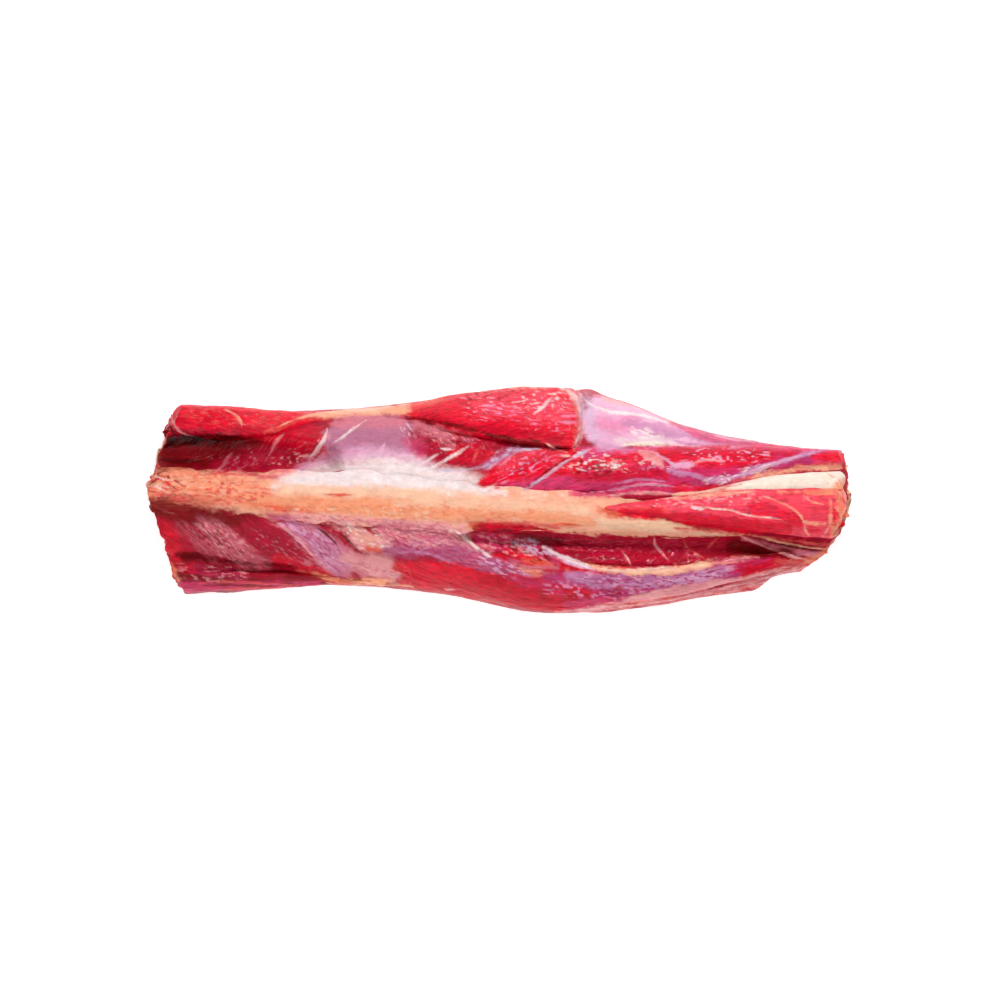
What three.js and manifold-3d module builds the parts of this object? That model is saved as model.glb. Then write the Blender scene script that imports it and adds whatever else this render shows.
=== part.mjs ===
// Raw bone-in mutton loin: a whole back, cut through at both ends, lying on its belly side.
// A strip of back fat runs along the crest, muscles lie on both slopes, and the backbone runs
// through the middle and shows at the two cuts.
//
// The frame: +X runs from the broad cut end to the narrow one, +Y points to the far flank and
// +Z up. The origin is under the middle, on the face that the loin rests on. Millimetres.

import * as THREE from "three";
import Module from "manifold-3d";

const wasm = await Module();
wasm.setup();

// Driving dimensions. A list holds sizes at equal steps from the broad end to the narrow end.
const HALF_LENGTH = 206;
const FAR_FLANK = sizes(52, 53, 54, 57, 63, 66, 61, 44, 33, 30);
const NEAR_FLANK = sizes(53, 53, 51, 53, 59, 68, 66, 57, 49, 27);
const CREST_HEIGHT = sizes(56, 57, 59, 61, 63, 64, 62, 57, 51, 44);
const FLANK_HEIGHT = 14;
const ROOF_POWER = 2.1;
const CROWN_POWER = 1.9;
const BELLY_POWER = 6;
const BELLY_SINK = 1.03;

// How far the cut faces curve back on the near and the far side, at a distance of `at` from the
// spine. The bend reaches CUT_REACH into the loin.
const BROAD_CUT = { nearBow: 13, farBow: 13, at: 58 };
const NARROW_CUT = { nearBow: 11, farBow: 2, at: 30 };
const CUT_REACH = 60;

// Gap between the meat and what is set into it.
const SEAM_GAP = 0.3;

// Hollows and grooves of the slopes: a line of [x, y] points, its half-width and its depth.
const HOLLOWS = [
  { line: [[-215, 27], [-150, 28], [-106, 22]], reach: 15, depth: 13 },
  { line: [[-215, -36], [-150, -40], [-96, -43]], reach: 8, depth: 6 },
  { line: [[-16, -21], [40, -24], [100, -27], [176, -27]], reach: 13, depth: 10 },
];

// Muscles that lie on the slopes. Each follows the slope under it: its middle is at y and lift
// above the slope, and a dome closes each end.
const MUSCLES = {
  rolledFlank: {
    from: -197, to: -104, startDome: 6, endDome: 8, rings: 12, around: 14,
    y: sizes(47, 46, 46, 50), halfWidth: sizes(11, 12, 10, 4),
    halfDepth: sizes(10, 10, 8, 3), lift: sizes(2, 2, 1, -1),
  },
  bluntFarMuscle: {
    from: -64, to: 45, startDome: 8, endDome: 3.5, rings: 14, around: 18,
    y: sizes(52, 52, 51, 49), halfWidth: sizes(7, 17, 23, 24),
    halfDepth: sizes(3, 7, 10, 11), lift: sizes(-1, -1, -1, -1),
  },
  longFarMuscle: {
    from: -10, to: 203, startDome: 5, endDome: 2, rings: 22, around: 12,
    y: sizes(8, 17, 19, 22, 25, 24), halfWidth: sizes(3, 12, 12, 12, 9, 8),
    halfDepth: sizes(3, 7, 7, 6, 6, 6), lift: sizes(-2, -2, -2, -2, -2, -2),
  },
  endMuscle: {
    from: 68, to: 203, startDome: 6, endDome: 3, rings: 14, around: 14,
    y: sizes(-5, -5, -6, -7), halfWidth: sizes(2, 8, 13, 16),
    halfDepth: sizes(3, 8, 10, 11), lift: sizes(3, 1, 0, -1),
  },
  nearFlap: {
    from: -34, to: 180, startDome: 14, endDome: 6, rings: 24, around: 14,
    y: sizes(-42, -48, -53, -50, -43, -33), halfWidth: sizes(12, 22, 19, 17, 14, 9),
    halfDepth: sizes(3, 6, 7, 7, 6, 4), lift: sizes(-2, -1, 0, 0, 0, 0),
  },
  nearStrip: {
    from: -195, to: -92, startDome: 3, endDome: 10, rings: 10, around: 12,
    y: sizes(-49, -49, -48, -48), halfWidth: sizes(12, 11, 9, 4),
    halfDepth: sizes(6, 5, 4, 2), lift: sizes(0, 0, -1, -1),
  },
};

// The back fat is laid along the crest in the same way. It dips under the end muscle.
const BACK_FAT = {
  from: -205, to: 204, startDome: 2.5, endDome: 3.5, rings: 34, around: 14,
  y: sizes(3, 1, 0, -4, -5, -7, -12, -15, -14, -12),
  halfWidth: sizes(12, 12, 13, 12, 12, 12, 9, 7, 6, 6),
  halfDepth: sizes(8, 8, 8, 8, 8, 7, 6, 5, 4, 4),
  lift: sizes(-3, -3, -3, -3, -3, -3, -2, -2, -6, -8),
};

// The backbone: its section is a round body with flat plates that stand out from it, a pair of
// transverse processes and a spinous process that ends spineCover under the crest.
const BACKBONE = {
  halfLength: 210, rings: 9, radius: 13, plateThickness: 5, spineCover: 12,
  height: sizes(29, 29, 30, 31, 32, 32, 31, 29, 26, 23),
  scale: sizes(1, 1, 1, 1, 1, 1, 0.95, 0.85, 0.75, 0.68),
  transverse: { length: 31, droop: 8 },
  sideArcSteps: 4, bellyArcSteps: 9,
};

const TRUNK_RINGS = 48;
const TRUNK_AROUND = 34;

// Low lumps that keep the slopes from being even: waves along and across the loin, the skew that
// sets them aslant, and their height.
const LUMPS = [
  { along: 17, across: 14, skew: 31, rise: 0.7 },
  { along: 9, across: 7, skew: 31, rise: 0.35 },
];

const RED_MEAT = new THREE.MeshStandardMaterial({ color: 0xb41e32, roughness: 0.35, metalness: 0 });
const CREAM_FAT = new THREE.MeshStandardMaterial({ color: 0xf2b894, roughness: 0.5, metalness: 0 });
const RAW_BONE = new THREE.MeshStandardMaterial({ color: 0xe6c4aa, roughness: 0.7, metalness: 0 });

// A list of sizes at equal steps, as a smooth curve.
function sizes(...list) {
  return new THREE.SplineCurve(list.map((size, step) => new THREE.Vector2(step, size)));
}

// The size a share t of the way along such a list.
function sizeAt(list, t) {
  return list.getPoint(THREE.MathUtils.clamp(t, 0, 1)).y;
}

// A power that keeps the sign.
function signedPower(value, power) {
  return Math.sign(value) * Math.abs(value) ** power;
}

// The distance from a point to a line of points.
function distanceToLine(x, y, line) {
  let nearest = Infinity;
  for (let i = 1; i < line.length; i++) {
    const [ax, ay] = line[i - 1];
    const [bx, by] = line[i];
    const lengthSquared = (bx - ax) ** 2 + (by - ay) ** 2;
    const share = THREE.MathUtils.clamp(
      ((x - ax) * (bx - ax) + (y - ay) * (by - ay)) / lengthSquared, 0, 1,
    );
    nearest = Math.min(nearest, Math.hypot(x - ax - share * (bx - ax), y - ay - share * (by - ay)));
  }
  return nearest;
}

// How far the slope rises at a point over its plain roof shape.
function relief(x, y) {
  let rise = 0;
  for (const { line, reach, depth } of HOLLOWS) {
    const share = distanceToLine(x, y, line) / reach;
    if (share < 1) rise -= depth * (1 - share ** 2) ** 2;
  }
  for (const lump of LUMPS) {
    rise += lump.rise * Math.sin(x / lump.along + y / lump.skew) * Math.cos(y / lump.across);
  }
  return rise;
}

// The share of the way from the broad end to the narrow end.
function shareAt(x) {
  return (x + HALF_LENGTH) / (2 * HALF_LENGTH);
}

// The distance from the spine to the flank on the side of y.
function flankAt(x, y) {
  return sizeAt(y > 0 ? FAR_FLANK : NEAR_FLANK, shareAt(x));
}

// The height of the trunk's upper surface over a point.
function slopeHeight(x, y) {
  const across = Math.min(Math.abs(y) / flankAt(x, y), 1);
  const crown = (1 - across ** ROOF_POWER) ** (1 / CROWN_POWER);
  const rise = sizeAt(CREST_HEIGHT, shareAt(x)) - FLANK_HEIGHT;
  return FLANK_HEIGHT + rise * crown + relief(x, y) * Math.sqrt(crown);
}

// Moves a point near an end so that the cut face curves back towards the flanks.
function bendToCut(point) {
  const { nearBow, farBow, at } = point.x < 0 ? BROAD_CUT : NARROW_CUT;
  const share = THREE.MathUtils.smoothstep(
    Math.abs(point.x), HALF_LENGTH - CUT_REACH, HALF_LENGTH,
  );
  const bow = point.y > 0 ? farBow : nearBow;
  point.x -= Math.sign(point.x) * share * bow * (point.y / at) ** 2;
  return point;
}

// A closed surface from rings of points that run from one end to the other, with a point on
// each end: ringPoint(i, j) gives point j of ring i.
function closedRings(ringCount, around, ringPoint, startPoint, endPoint) {
  const points = [startPoint];
  for (let i = 0; i < ringCount; i++) {
    for (let j = 0; j < around; j++) points.push(ringPoint(i, j));
  }
  points.push(endPoint);
  const at = (i, j) => 1 + i * around + (j % around);
  const triangles = [];
  for (let j = 0; j < around; j++) {
    triangles.push(0, at(0, j + 1), at(0, j));
    triangles.push(points.length - 1, at(ringCount - 1, j), at(ringCount - 1, j + 1));
    for (let i = 0; i + 1 < ringCount; i++) {
      triangles.push(at(i, j), at(i + 1, j + 1), at(i + 1, j));
      triangles.push(at(i, j), at(i, j + 1), at(i + 1, j + 1));
    }
  }
  return new THREE.BufferGeometry().setFromPoints(points).setIndex(triangles);
}

// The trunk: rings with a roof above the flanks' widest line and a flat belly below it.
function trunkGeometry() {
  const ringX = (i) => HALF_LENGTH * (2 * i / (TRUNK_RINGS - 1) - 1);
  const ringPoint = (i, j) => {
    const x = ringX(i);
    const angle = 2 * Math.PI * j / TRUNK_AROUND;
    const y = flankAt(x, Math.cos(angle)) * signedPower(Math.cos(angle), 2 / ROOF_POWER);
    const below = FLANK_HEIGHT * BELLY_SINK * Math.abs(Math.sin(angle)) ** (2 / BELLY_POWER);
    const z = Math.sin(angle) >= 0 ? slopeHeight(x, y) : Math.max(FLANK_HEIGHT - below, 0);
    return bendToCut(new THREE.Vector3(x, y, z));
  };
  const endPoint = (x) => new THREE.Vector3(x, 0, sizeAt(CREST_HEIGHT, shareAt(x)) / 2);
  return closedRings(
    TRUNK_RINGS, TRUNK_AROUND, ringPoint, endPoint(-HALF_LENGTH), endPoint(HALF_LENGTH),
  );
}

// A muscle or strip that lies on the slope. grow makes it larger all round.
function layerGeometry(layer, grow = 0) {
  const { from, to, rings, around } = layer;
  const startDome = layer.startDome + grow;
  const endDome = layer.endDome + grow;
  const domeRings = 3;
  const ringPlace = (i) => {
    if (i < domeRings) {
      const turn = Math.PI / 2 * (i + 1) / (domeRings + 1);
      return { x: from - startDome * Math.cos(turn), scale: Math.sin(turn) };
    }
    if (i >= domeRings + rings) {
      const turn = Math.PI / 2 * (i - domeRings - rings + 1) / (domeRings + 1);
      return { x: to + endDome * Math.sin(turn), scale: Math.cos(turn) };
    }
    return { x: THREE.MathUtils.lerp(from, to, (i - domeRings) / (rings - 1)), scale: 1 };
  };
  const middle = (x) => {
    const t = (x - from) / (to - from);
    const y = sizeAt(layer.y, t);
    const step = sizeAt(layer.halfWidth, t) / 2;
    const slope = (slopeHeight(x, y + step) - slopeHeight(x, y - step)) / (2 * step);
    return { t, y, z: slopeHeight(x, y) + sizeAt(layer.lift, t), lean: Math.atan(slope) };
  };
  const ringPoint = (i, j) => {
    const { x, scale } = ringPlace(i);
    const { t, y, z, lean } = middle(x);
    const angle = 2 * Math.PI * j / around;
    const out = (sizeAt(layer.halfWidth, t) + grow) * scale * Math.cos(angle);
    const up = (sizeAt(layer.halfDepth, t) + grow) * scale * Math.sin(angle);
    const yTurned = y + out * Math.cos(lean) - up * Math.sin(lean);
    const zTurned = z + out * Math.sin(lean) + up * Math.cos(lean);
    return bendToCut(new THREE.Vector3(x, yTurned, Math.max(zTurned, 0)));
  };
  const tip = (x) => {
    const { y, z } = middle(x);
    return bendToCut(new THREE.Vector3(x, y, z));
  };
  return closedRings(
    rings + 2 * domeRings, around, ringPoint, tip(from - startDome), tip(to + endDome),
  );
}

// The backbone's section at x, from its centre line: [y, z] points, round from the far plate.
function boneOutline(x, grow) {
  const t = shareAt(x);
  const scale = sizeAt(BACKBONE.scale, t);
  const radius = BACKBONE.radius * scale + grow;
  const half = BACKBONE.plateThickness * scale / 2 + grow;
  const { length, droop } = BACKBONE.transverse;
  const spineTop = sizeAt(CREST_HEIGHT, t) - BACKBONE.spineCover - sizeAt(BACKBONE.height, t);
  const plates = [
    { degrees: -droop, length: length * scale + grow, arcSteps: BACKBONE.sideArcSteps },
    { degrees: 90, length: spineTop + grow, arcSteps: BACKBONE.sideArcSteps },
    { degrees: 180 + droop, length: length * scale + grow, arcSteps: BACKBONE.bellyArcSteps },
  ];
  const root = Math.asin(half / radius);
  return plates.flatMap((plate, index) => {
    const angle = THREE.MathUtils.degToRad(plate.degrees);
    const turn = new THREE.Vector2(Math.cos(angle), Math.sin(angle));
    const corner = (side) => [
      plate.length * turn.x - side * half * turn.y, plate.length * turn.y + side * half * turn.x,
    ];
    const next = plates[index + 1]?.degrees ?? plates[0].degrees + 360;
    const arcEnd = THREE.MathUtils.degToRad(next) - root;
    const arc = Array.from({ length: plate.arcSteps + 1 }, (_, step) => {
      const at = THREE.MathUtils.lerp(angle + root, arcEnd, step / plate.arcSteps);
      return [radius * Math.cos(at), radius * Math.sin(at)];
    });
    return [corner(-1), corner(1), ...arc];
  });
}

// The backbone, from end to end.
function boneGeometry(grow = 0) {
  const half = BACKBONE.halfLength + grow;
  const centre = (x) => new THREE.Vector3(x, 0, sizeAt(BACKBONE.height, shareAt(x)));
  const sections = Array.from({ length: BACKBONE.rings }, (_, i) => {
    const x = half * (2 * i / (BACKBONE.rings - 1) - 1);
    return boneOutline(x, grow).map(([y, z]) => centre(x).add(new THREE.Vector3(0, y, z)));
  });
  return closedRings(
    BACKBONE.rings, sections[0].length, (i, j) => sections[i][j], centre(-half), centre(half),
  );
}

// A closed geometry as a solid for joining and cutting.
function solidOf(geometry) {
  return new wasm.Manifold(new wasm.Mesh({
    numProp: 3,
    vertProperties: geometry.attributes.position.array,
    triVerts: new Uint32Array(geometry.index.array),
  }));
}

// A solid as a named mesh.
function meshOf(name, solid, material) {
  const { vertProperties, triVerts } = solid.getMesh();
  const geometry = new THREE.BufferGeometry();
  geometry.setAttribute("position", new THREE.BufferAttribute(vertProperties, 3));
  geometry.setIndex(new THREE.BufferAttribute(triVerts, 1));
  geometry.computeVertexNormals();
  const mesh = new THREE.Mesh(geometry, material);
  mesh.name = name;
  return mesh;
}

// The fat and the backbone are let into the meat, with a small gap all round.
const meatSolid = Object.values(MUSCLES)
  .reduce((meat, muscle) => meat.add(solidOf(layerGeometry(muscle))), solidOf(trunkGeometry()))
  .subtract(solidOf(layerGeometry(BACK_FAT, SEAM_GAP)))
  .subtract(solidOf(boneGeometry(SEAM_GAP)));

const loin = new THREE.Group();
loin.add(meshOf("meat", meatSolid, RED_MEAT));
loin.add(meshOf("back_fat", solidOf(layerGeometry(BACK_FAT)), CREAM_FAT));
loin.add(meshOf("backbone", solidOf(boneGeometry()), RAW_BONE));

export default loin;
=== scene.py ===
import math

import bpy
import numpy as np
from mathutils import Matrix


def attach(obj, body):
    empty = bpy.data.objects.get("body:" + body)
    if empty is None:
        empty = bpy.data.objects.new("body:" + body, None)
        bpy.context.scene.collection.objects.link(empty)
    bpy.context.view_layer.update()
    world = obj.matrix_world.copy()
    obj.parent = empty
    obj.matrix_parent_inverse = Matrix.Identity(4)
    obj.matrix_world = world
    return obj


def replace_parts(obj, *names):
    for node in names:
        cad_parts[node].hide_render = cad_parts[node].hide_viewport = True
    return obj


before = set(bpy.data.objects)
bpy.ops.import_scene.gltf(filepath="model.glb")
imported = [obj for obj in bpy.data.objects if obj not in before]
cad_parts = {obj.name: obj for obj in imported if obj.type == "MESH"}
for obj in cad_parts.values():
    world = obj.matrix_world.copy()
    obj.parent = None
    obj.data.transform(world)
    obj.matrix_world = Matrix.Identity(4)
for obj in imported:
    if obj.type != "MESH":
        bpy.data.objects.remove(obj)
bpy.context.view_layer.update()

# The far side: the long muscle on the far flank, cut through at both ends, with the rolled flank, a
# blunt muscle and a long flat one lying on it. All are red meat under thin films, held by sinew.
MM = 0.001
HALF_LENGTH = 207
FAR_FLANK = [52, 53, 54, 57, 63, 66, 61, 44, 34.5, 30]
NEAR_FLANK = [53, 53, 51, 53, 59, 68, 66, 58, 52, 43]
CREST_HEIGHT = [56, 57, 59, 61, 63, 64, 62, 57, 51, 44]
FLANK_HEIGHT = 14
ROOF_POWER = 2.1
CROWN_POWER = 1.9
BELLY_POWER = 6
BELLY_SINK = 1.03
CUT_BOWS = {(-1, -1): (13, 58, 0.8), (-1, 1): (10, 58, 1.2), (1, -1): (20, 39, 2.2), (1, 1): (2, 30, 1.2)}
SHOULDER = (53, 9, 3)
CUT_REACH = 60
RAGGED = 3.2
HOLLOWS = [
    ([(-215, 27), (-150, 28), (-106, 22)], 15, 13),
    ([(-215, -36), (-150, -40), (-96, -43)], 8, 6),
    ([(-16, -21), (40, -24), (100, -27), (176, -27)], 13, 10),
]
LATTICE = np.random.default_rng(11).random((256, 256))


def along(sizes, t):
    """A smooth curve through sizes at equal steps: the Catmull-Rom cubic of the four nearest ones."""
    sizes = np.asarray(sizes, float)
    place = np.clip(t, 0, 1) * (len(sizes) - 1)
    step = np.minimum(place.astype(int), len(sizes) - 2)
    u = place - step
    a, b, c, d = (sizes[np.clip(step + k, 0, len(sizes) - 1)] for k in (-1, 0, 1, 2))
    lead, tail = (c - a) / 2, (d - b) / 2
    return ((2 * b - 2 * c + lead + tail) * u + (3 * c - 3 * b - 2 * lead - tail)) * u**2 + lead * u + b


def smooth_step(low, high, value):
    """0 below low, 1 above high, and 3u^2 - 2u^3 between them, where u is the share of the way."""
    u = np.clip((value - low) / (high - low), 0, 1)
    return u * u * (3 - 2 * u)


def noise(x, y, seed=0):
    """Smooth noise from -1 to 1: random values on a square lattice, blended by smooth steps."""
    x, y = x + 37.3 * seed, y + 71.7 * seed
    i, j = np.floor(x).astype(int), np.floor(y).astype(int)
    u, v = smooth_step(0, 1, x - i), smooth_step(0, 1, y - j)
    corner = lambda di, dj: LATTICE[(i + di) % 256, (j + dj) % 256]
    low = corner(0, 0) * (1 - u) + corner(1, 0) * u
    high = corner(0, 1) * (1 - u) + corner(1, 1) * u
    return 2 * (low * (1 - v) + high * v) - 1


def fractal(x, y, seed=0, octaves=3):
    """A sum of noises, each at twice the frequency and half the height of the one before."""
    return sum(noise(x * 2**k, y * 2**k, seed + k) / 2**k for k in range(octaves)) / 1.5


def share_at(x):
    """The share of the way from the broad cut to the narrow one."""
    return (x + HALF_LENGTH) / (2 * HALF_LENGTH)


def distance_to_line(x, y, line):
    """The least distance to the segments of a line of points."""
    nearest = np.full(np.broadcast(x, y).shape, np.inf)
    for (ax, ay), (bx, by) in zip(line, line[1:]):
        dx, dy = bx - ax, by - ay
        u = np.clip(((x - ax) * dx + (y - ay) * dy) / (dx * dx + dy * dy), 0, 1)
        nearest = np.minimum(nearest, np.hypot(x - ax - u * dx, y - ay - u * dy))
    return nearest


def flank_at(x, side):
    """The distance from the spine to the flank. On the far side, where side is above 0, a shoulder of
    height * exp(-((x - place) / reach)^2) stands past the end of the blunt muscle."""
    t = share_at(x)
    place, reach, height = SHOULDER
    shoulder = height * np.exp(-(((x - place) / reach) ** 2))
    return np.where(side > 0, along(FAR_FLANK, t) + shoulder, along(NEAR_FLANK, t))


def slope_height(x, y):
    """The slope over a point: flank height plus the rise to the crest times a power-curve roof
    (1 - (y / flank)^2.1)^(1 / 1.9), less the hollows, each a bowl (1 - (distance / reach)^2)^2."""
    across = np.minimum(np.abs(y) / flank_at(x, y), 1)
    crown = (1 - across**ROOF_POWER) ** (1 / CROWN_POWER)
    relief = np.zeros_like(crown)
    for line, reach, depth in HOLLOWS:
        share = np.minimum(distance_to_line(x, y, line) / reach, 1)
        relief -= depth * (1 - share**2) ** 2
    return FLANK_HEIGHT + (along(CREST_HEIGHT, share_at(x)) - FLANK_HEIGHT) * crown + relief * np.sqrt(crown)


def bend_to_cut(points):
    """Near an end, x moves inwards by bow * (|y| / at)^power, so that the cut curves back to the
    flanks, and in and out by noise, as the saw and the knife leave it ragged."""
    x, y, z = (points[..., k] for k in range(3))
    ragged = RAGGED * fractal(y / 7, z / 7, 6, 2)
    shift = np.zeros_like(x)
    for (end, side), (bow, at, power) in CUT_BOWS.items():
        share = smooth_step(HALF_LENGTH - CUT_REACH, HALF_LENGTH, end * x)
        shift -= end * share * bow * (np.maximum(side * y, 0) / at) ** power
    for end in (-1, 1):
        shift += end * smooth_step(HALF_LENGTH - 9, HALF_LENGTH, end * x) * ragged
    return np.stack([x + shift, y, z], -1)


def tone(red, green, blue, film):
    """A colour of 0 to 255 as linear light, each channel to the power 2.2, and how far it covers
    the fibres under it: 0 is bare muscle, 1 is film or fat."""
    return (np.array((red, green, blue)) / 255.0) ** 2.2, film


# Finishes as colour and film. The white, blue and pink film finishes are real films and also painted highlights: glints
# on the wet surface and a sheen on the white film. shade is a painted shadow. deep_red and dark_red are darker meat and
# also painted shade in hollows, creases and gaps.
FINISHES = {
    "bright_red": tone(234, 24, 52, 0), "red": tone(210, 12, 44, 0),
    "wine": tone(178, 16, 48, 0), "deep_red": tone(132, 4, 20, 0),
    "dark_red": tone(92, 0, 8, 0), "shade": tone(58, 0, 3, 0),
    "pink_red": tone(255, 74, 94, 0), "rose": tone(217, 54, 104, 0.2),
    "magenta": tone(192, 58, 112, 0.3), "purple": tone(182, 96, 144, 0.8),
    "silverskin": tone(192, 119, 147, 0.9), "lilac": tone(204, 132, 174, 0.9), "pale_lilac": tone(234, 174, 204, 1),
    "blue_film_and_highlight": tone(208, 190, 216, 1), "white_film_and_highlight": tone(248, 226, 225, 1),
    "grey_pink": tone(214, 116, 132, 0.9), "pale_pink": tone(244, 164, 166, 1),
    "pink_film_and_highlight": tone(238, 148, 186, 0.9), "orange": tone(255, 162, 122, 1),
    "red_orange": tone(232, 84, 62, 0.7), "rough_fat": tone(242, 136, 102, 0.9),
    "peach": tone(254, 178, 148, 1), "cream": tone(254, 200, 168, 1),
    "ivory": tone(252, 232, 216, 1), "salmon": tone(228, 88, 84, 0.6),
}


def stroke(finish, *path, soft=3.0, strength=1.0, streak=0.0, sparse=0.0, rise=0.0):
    """One stroke of a finish along path, whose points are (x, y, half-width) in millimetres.
    streak parts it into strands, sparse thins these out, and rise lifts the surface under it."""
    return finish, path, soft, strength, streak, sparse, rise


def strand(finish, width, *line, strength=0.9, rise=0.25):
    """A thin strand along line, widest in the middle and gone at its ends, a little broken."""
    last = len(line) - 1
    swell = [1.5 * math.sin(math.pi * (k + 0.3) / (last + 0.6)) - 0.5 for k in range(last + 1)]
    path = [(x, y, width * share) for (x, y), share in zip(line, swell)]
    return stroke(finish, *path, soft=0.9, strength=strength, streak=0.45, sparse=-0.1, rise=rise)


def flecks_and_glints(finish, *path, sparse=0.35, strength=0.85, rise=0.25):
    """Small flecks and crinkles scattered over a stroke: marks of colour, and in the pale film finishes painted glints,
    the highlights of a wet surface.
    """
    return stroke(finish, *path, soft=4, strength=strength, streak=1, sparse=sparse, rise=rise)


def cover(x, y, path, soft, streak, sparse, seed):
    """How far a stroke covers each point: 1 where the distance to its curve, less the half-width
    there, is below 0, fading over soft, with an edge shifted by noise along and across the curve.
    Strands are where a noise that is long along the curve is above sparse."""
    path = np.array(path, float)
    steps = 6 * (len(path) - 1)
    curve = np.stack([along(path[:, k], np.arange(steps + 1) / steps) for k in range(3)], 1)
    reach = path[:, 2].max() + 2 * soft
    covered = np.zeros(x.shape)
    near = (x > path[:, 0].min() - reach) & (x < path[:, 0].max() + reach)
    near &= (y > path[:, 1].min() - reach) & (y < path[:, 1].max() + reach)
    px, py = x[near], y[near]
    if not px.size:
        return covered
    best, run, side = np.full(px.shape, np.inf), np.zeros(px.shape), np.zeros(px.shape)
    length = 0.0
    for (ax, ay, aw), (bx, by, bw) in zip(curve, curve[1:]):
        dx, dy = bx - ax, by - ay
        size = math.hypot(dx, dy) + 1e-9
        u = np.clip(((px - ax) * dx + (py - ay) * dy) / size**2, 0, 1)
        over = np.hypot(px - ax - u * dx, py - ay - u * dy) - (aw + u * (bw - aw))
        closer = over < best
        best[closer] = over[closer]
        run[closer] = (length + u * size)[closer]
        side[closer] = (((py - ay) * dx - (px - ax) * dy) / size)[closer]
        length += size
    rag = min(soft, 3.5)
    edge = best + rag * (0.7 * fractal(run / 8, side / 2.4, seed) + 0.3 * noise(px / 1.6, py / 1.3, seed))
    share = 1 - smooth_step(-soft / 2, soft / 2, edge)
    grain_length, grain_width = (2.2, 0.8) if streak == 1 else (7, 0.95)
    waver = side + 0.9 * noise(run / 5, side / 3, seed + 2)
    strands = noise(run / grain_length, waver / grain_width, seed + 5)
    strands = smooth_step(sparse - 0.15, sparse + 0.3, strands)
    covered[near] = share * (1 - streak + streak * strands)
    return covered


def paint(x, y, base, strokes):
    """Lays the strokes over a base finish, in order. Returns colour, film and rise at each point."""
    colour = np.empty(x.shape + (3,))
    colour[:] = FINISHES[base][0]
    film = np.full(x.shape, float(FINISHES[base][1]))
    lift = np.zeros(x.shape)
    for seed, (finish, path, soft, strength, streak, sparse, rise) in enumerate(strokes):
        share = cover(x, y, path, soft, streak, sparse, seed)
        over = (share * strength)[..., None]
        colour = colour * (1 - over) + FINISHES[finish][0] * over
        film = film * (1 - share * strength) + FINISHES[finish][1] * share * strength
        lift += rise * share
    mottle = 0.16 * fractal(x / 7, y / 2.6, 90) + 0.1 * noise(x / 2.2, y / 0.9, 91)
    return colour * (1 + mottle * (1 - 0.65 * film))[..., None], film, lift


def outward(points):
    """Unit normals of a grid of rings, as the cross product of the steps along and around it."""
    along_step = np.gradient(points, axis=0)
    around_step = (np.roll(points, -1, 1) - np.roll(points, 1, 1)) / 2
    normal = np.cross(around_step, along_step)
    return normal / np.maximum(np.linalg.norm(normal, axis=-1, keepdims=True), 1e-9)


def closed_piece(name, rings, tips, colour, film, grain, material):
    """Makes a closed mesh from rings (ring, around, xyz in millimetres) and a tip at each end.
    Two triangles span each cell, and a fan joins the first and last ring to the tips."""
    count, around = rings.shape[:2]
    corner = 1 + np.arange(count * around).reshape(count, around)
    a, b = corner[:-1], corner[1:]
    a_next, b_next = np.roll(a, -1, 1), np.roll(b, -1, 1)
    first, last = corner[0], corner[-1]
    fans = [
        np.stack([np.zeros_like(first), np.roll(first, -1), first], -1),
        np.stack([np.full_like(last, count * around + 1), last, np.roll(last, -1)], -1),
    ]
    faces = np.concatenate(
        [np.stack(c, -1).reshape(-1, 3) for c in ((a, a_next, b_next), (a, b_next, b))] + fans
    )
    points = np.concatenate([tips[:1], rings.reshape(-1, 3), tips[1:]]) * MM
    mesh = bpy.data.meshes.new(name)
    mesh.from_pydata(points, [], faces)
    ends = lambda v: np.concatenate([v[:1].mean(1), v.reshape((-1,) + v.shape[2:]), v[-1:].mean(1)])
    shown = np.concatenate([ends(np.maximum(colour, 0)), ends(film)[:, None]], 1)
    mesh.attributes.new("tone", "FLOAT_COLOR", "POINT").data.foreach_set("color", shown.ravel())
    mesh.attributes.new("grain", "FLOAT_VECTOR", "POINT").data.foreach_set("vector", ends(grain).ravel())
    mesh.polygons.foreach_set("use_smooth", np.ones(len(faces), bool))
    mesh.materials.append(material)
    mesh.update()
    piece = bpy.data.objects.new(name, mesh)
    bpy.context.scene.collection.objects.link(piece)
    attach(piece, "root")
    return piece


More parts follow.
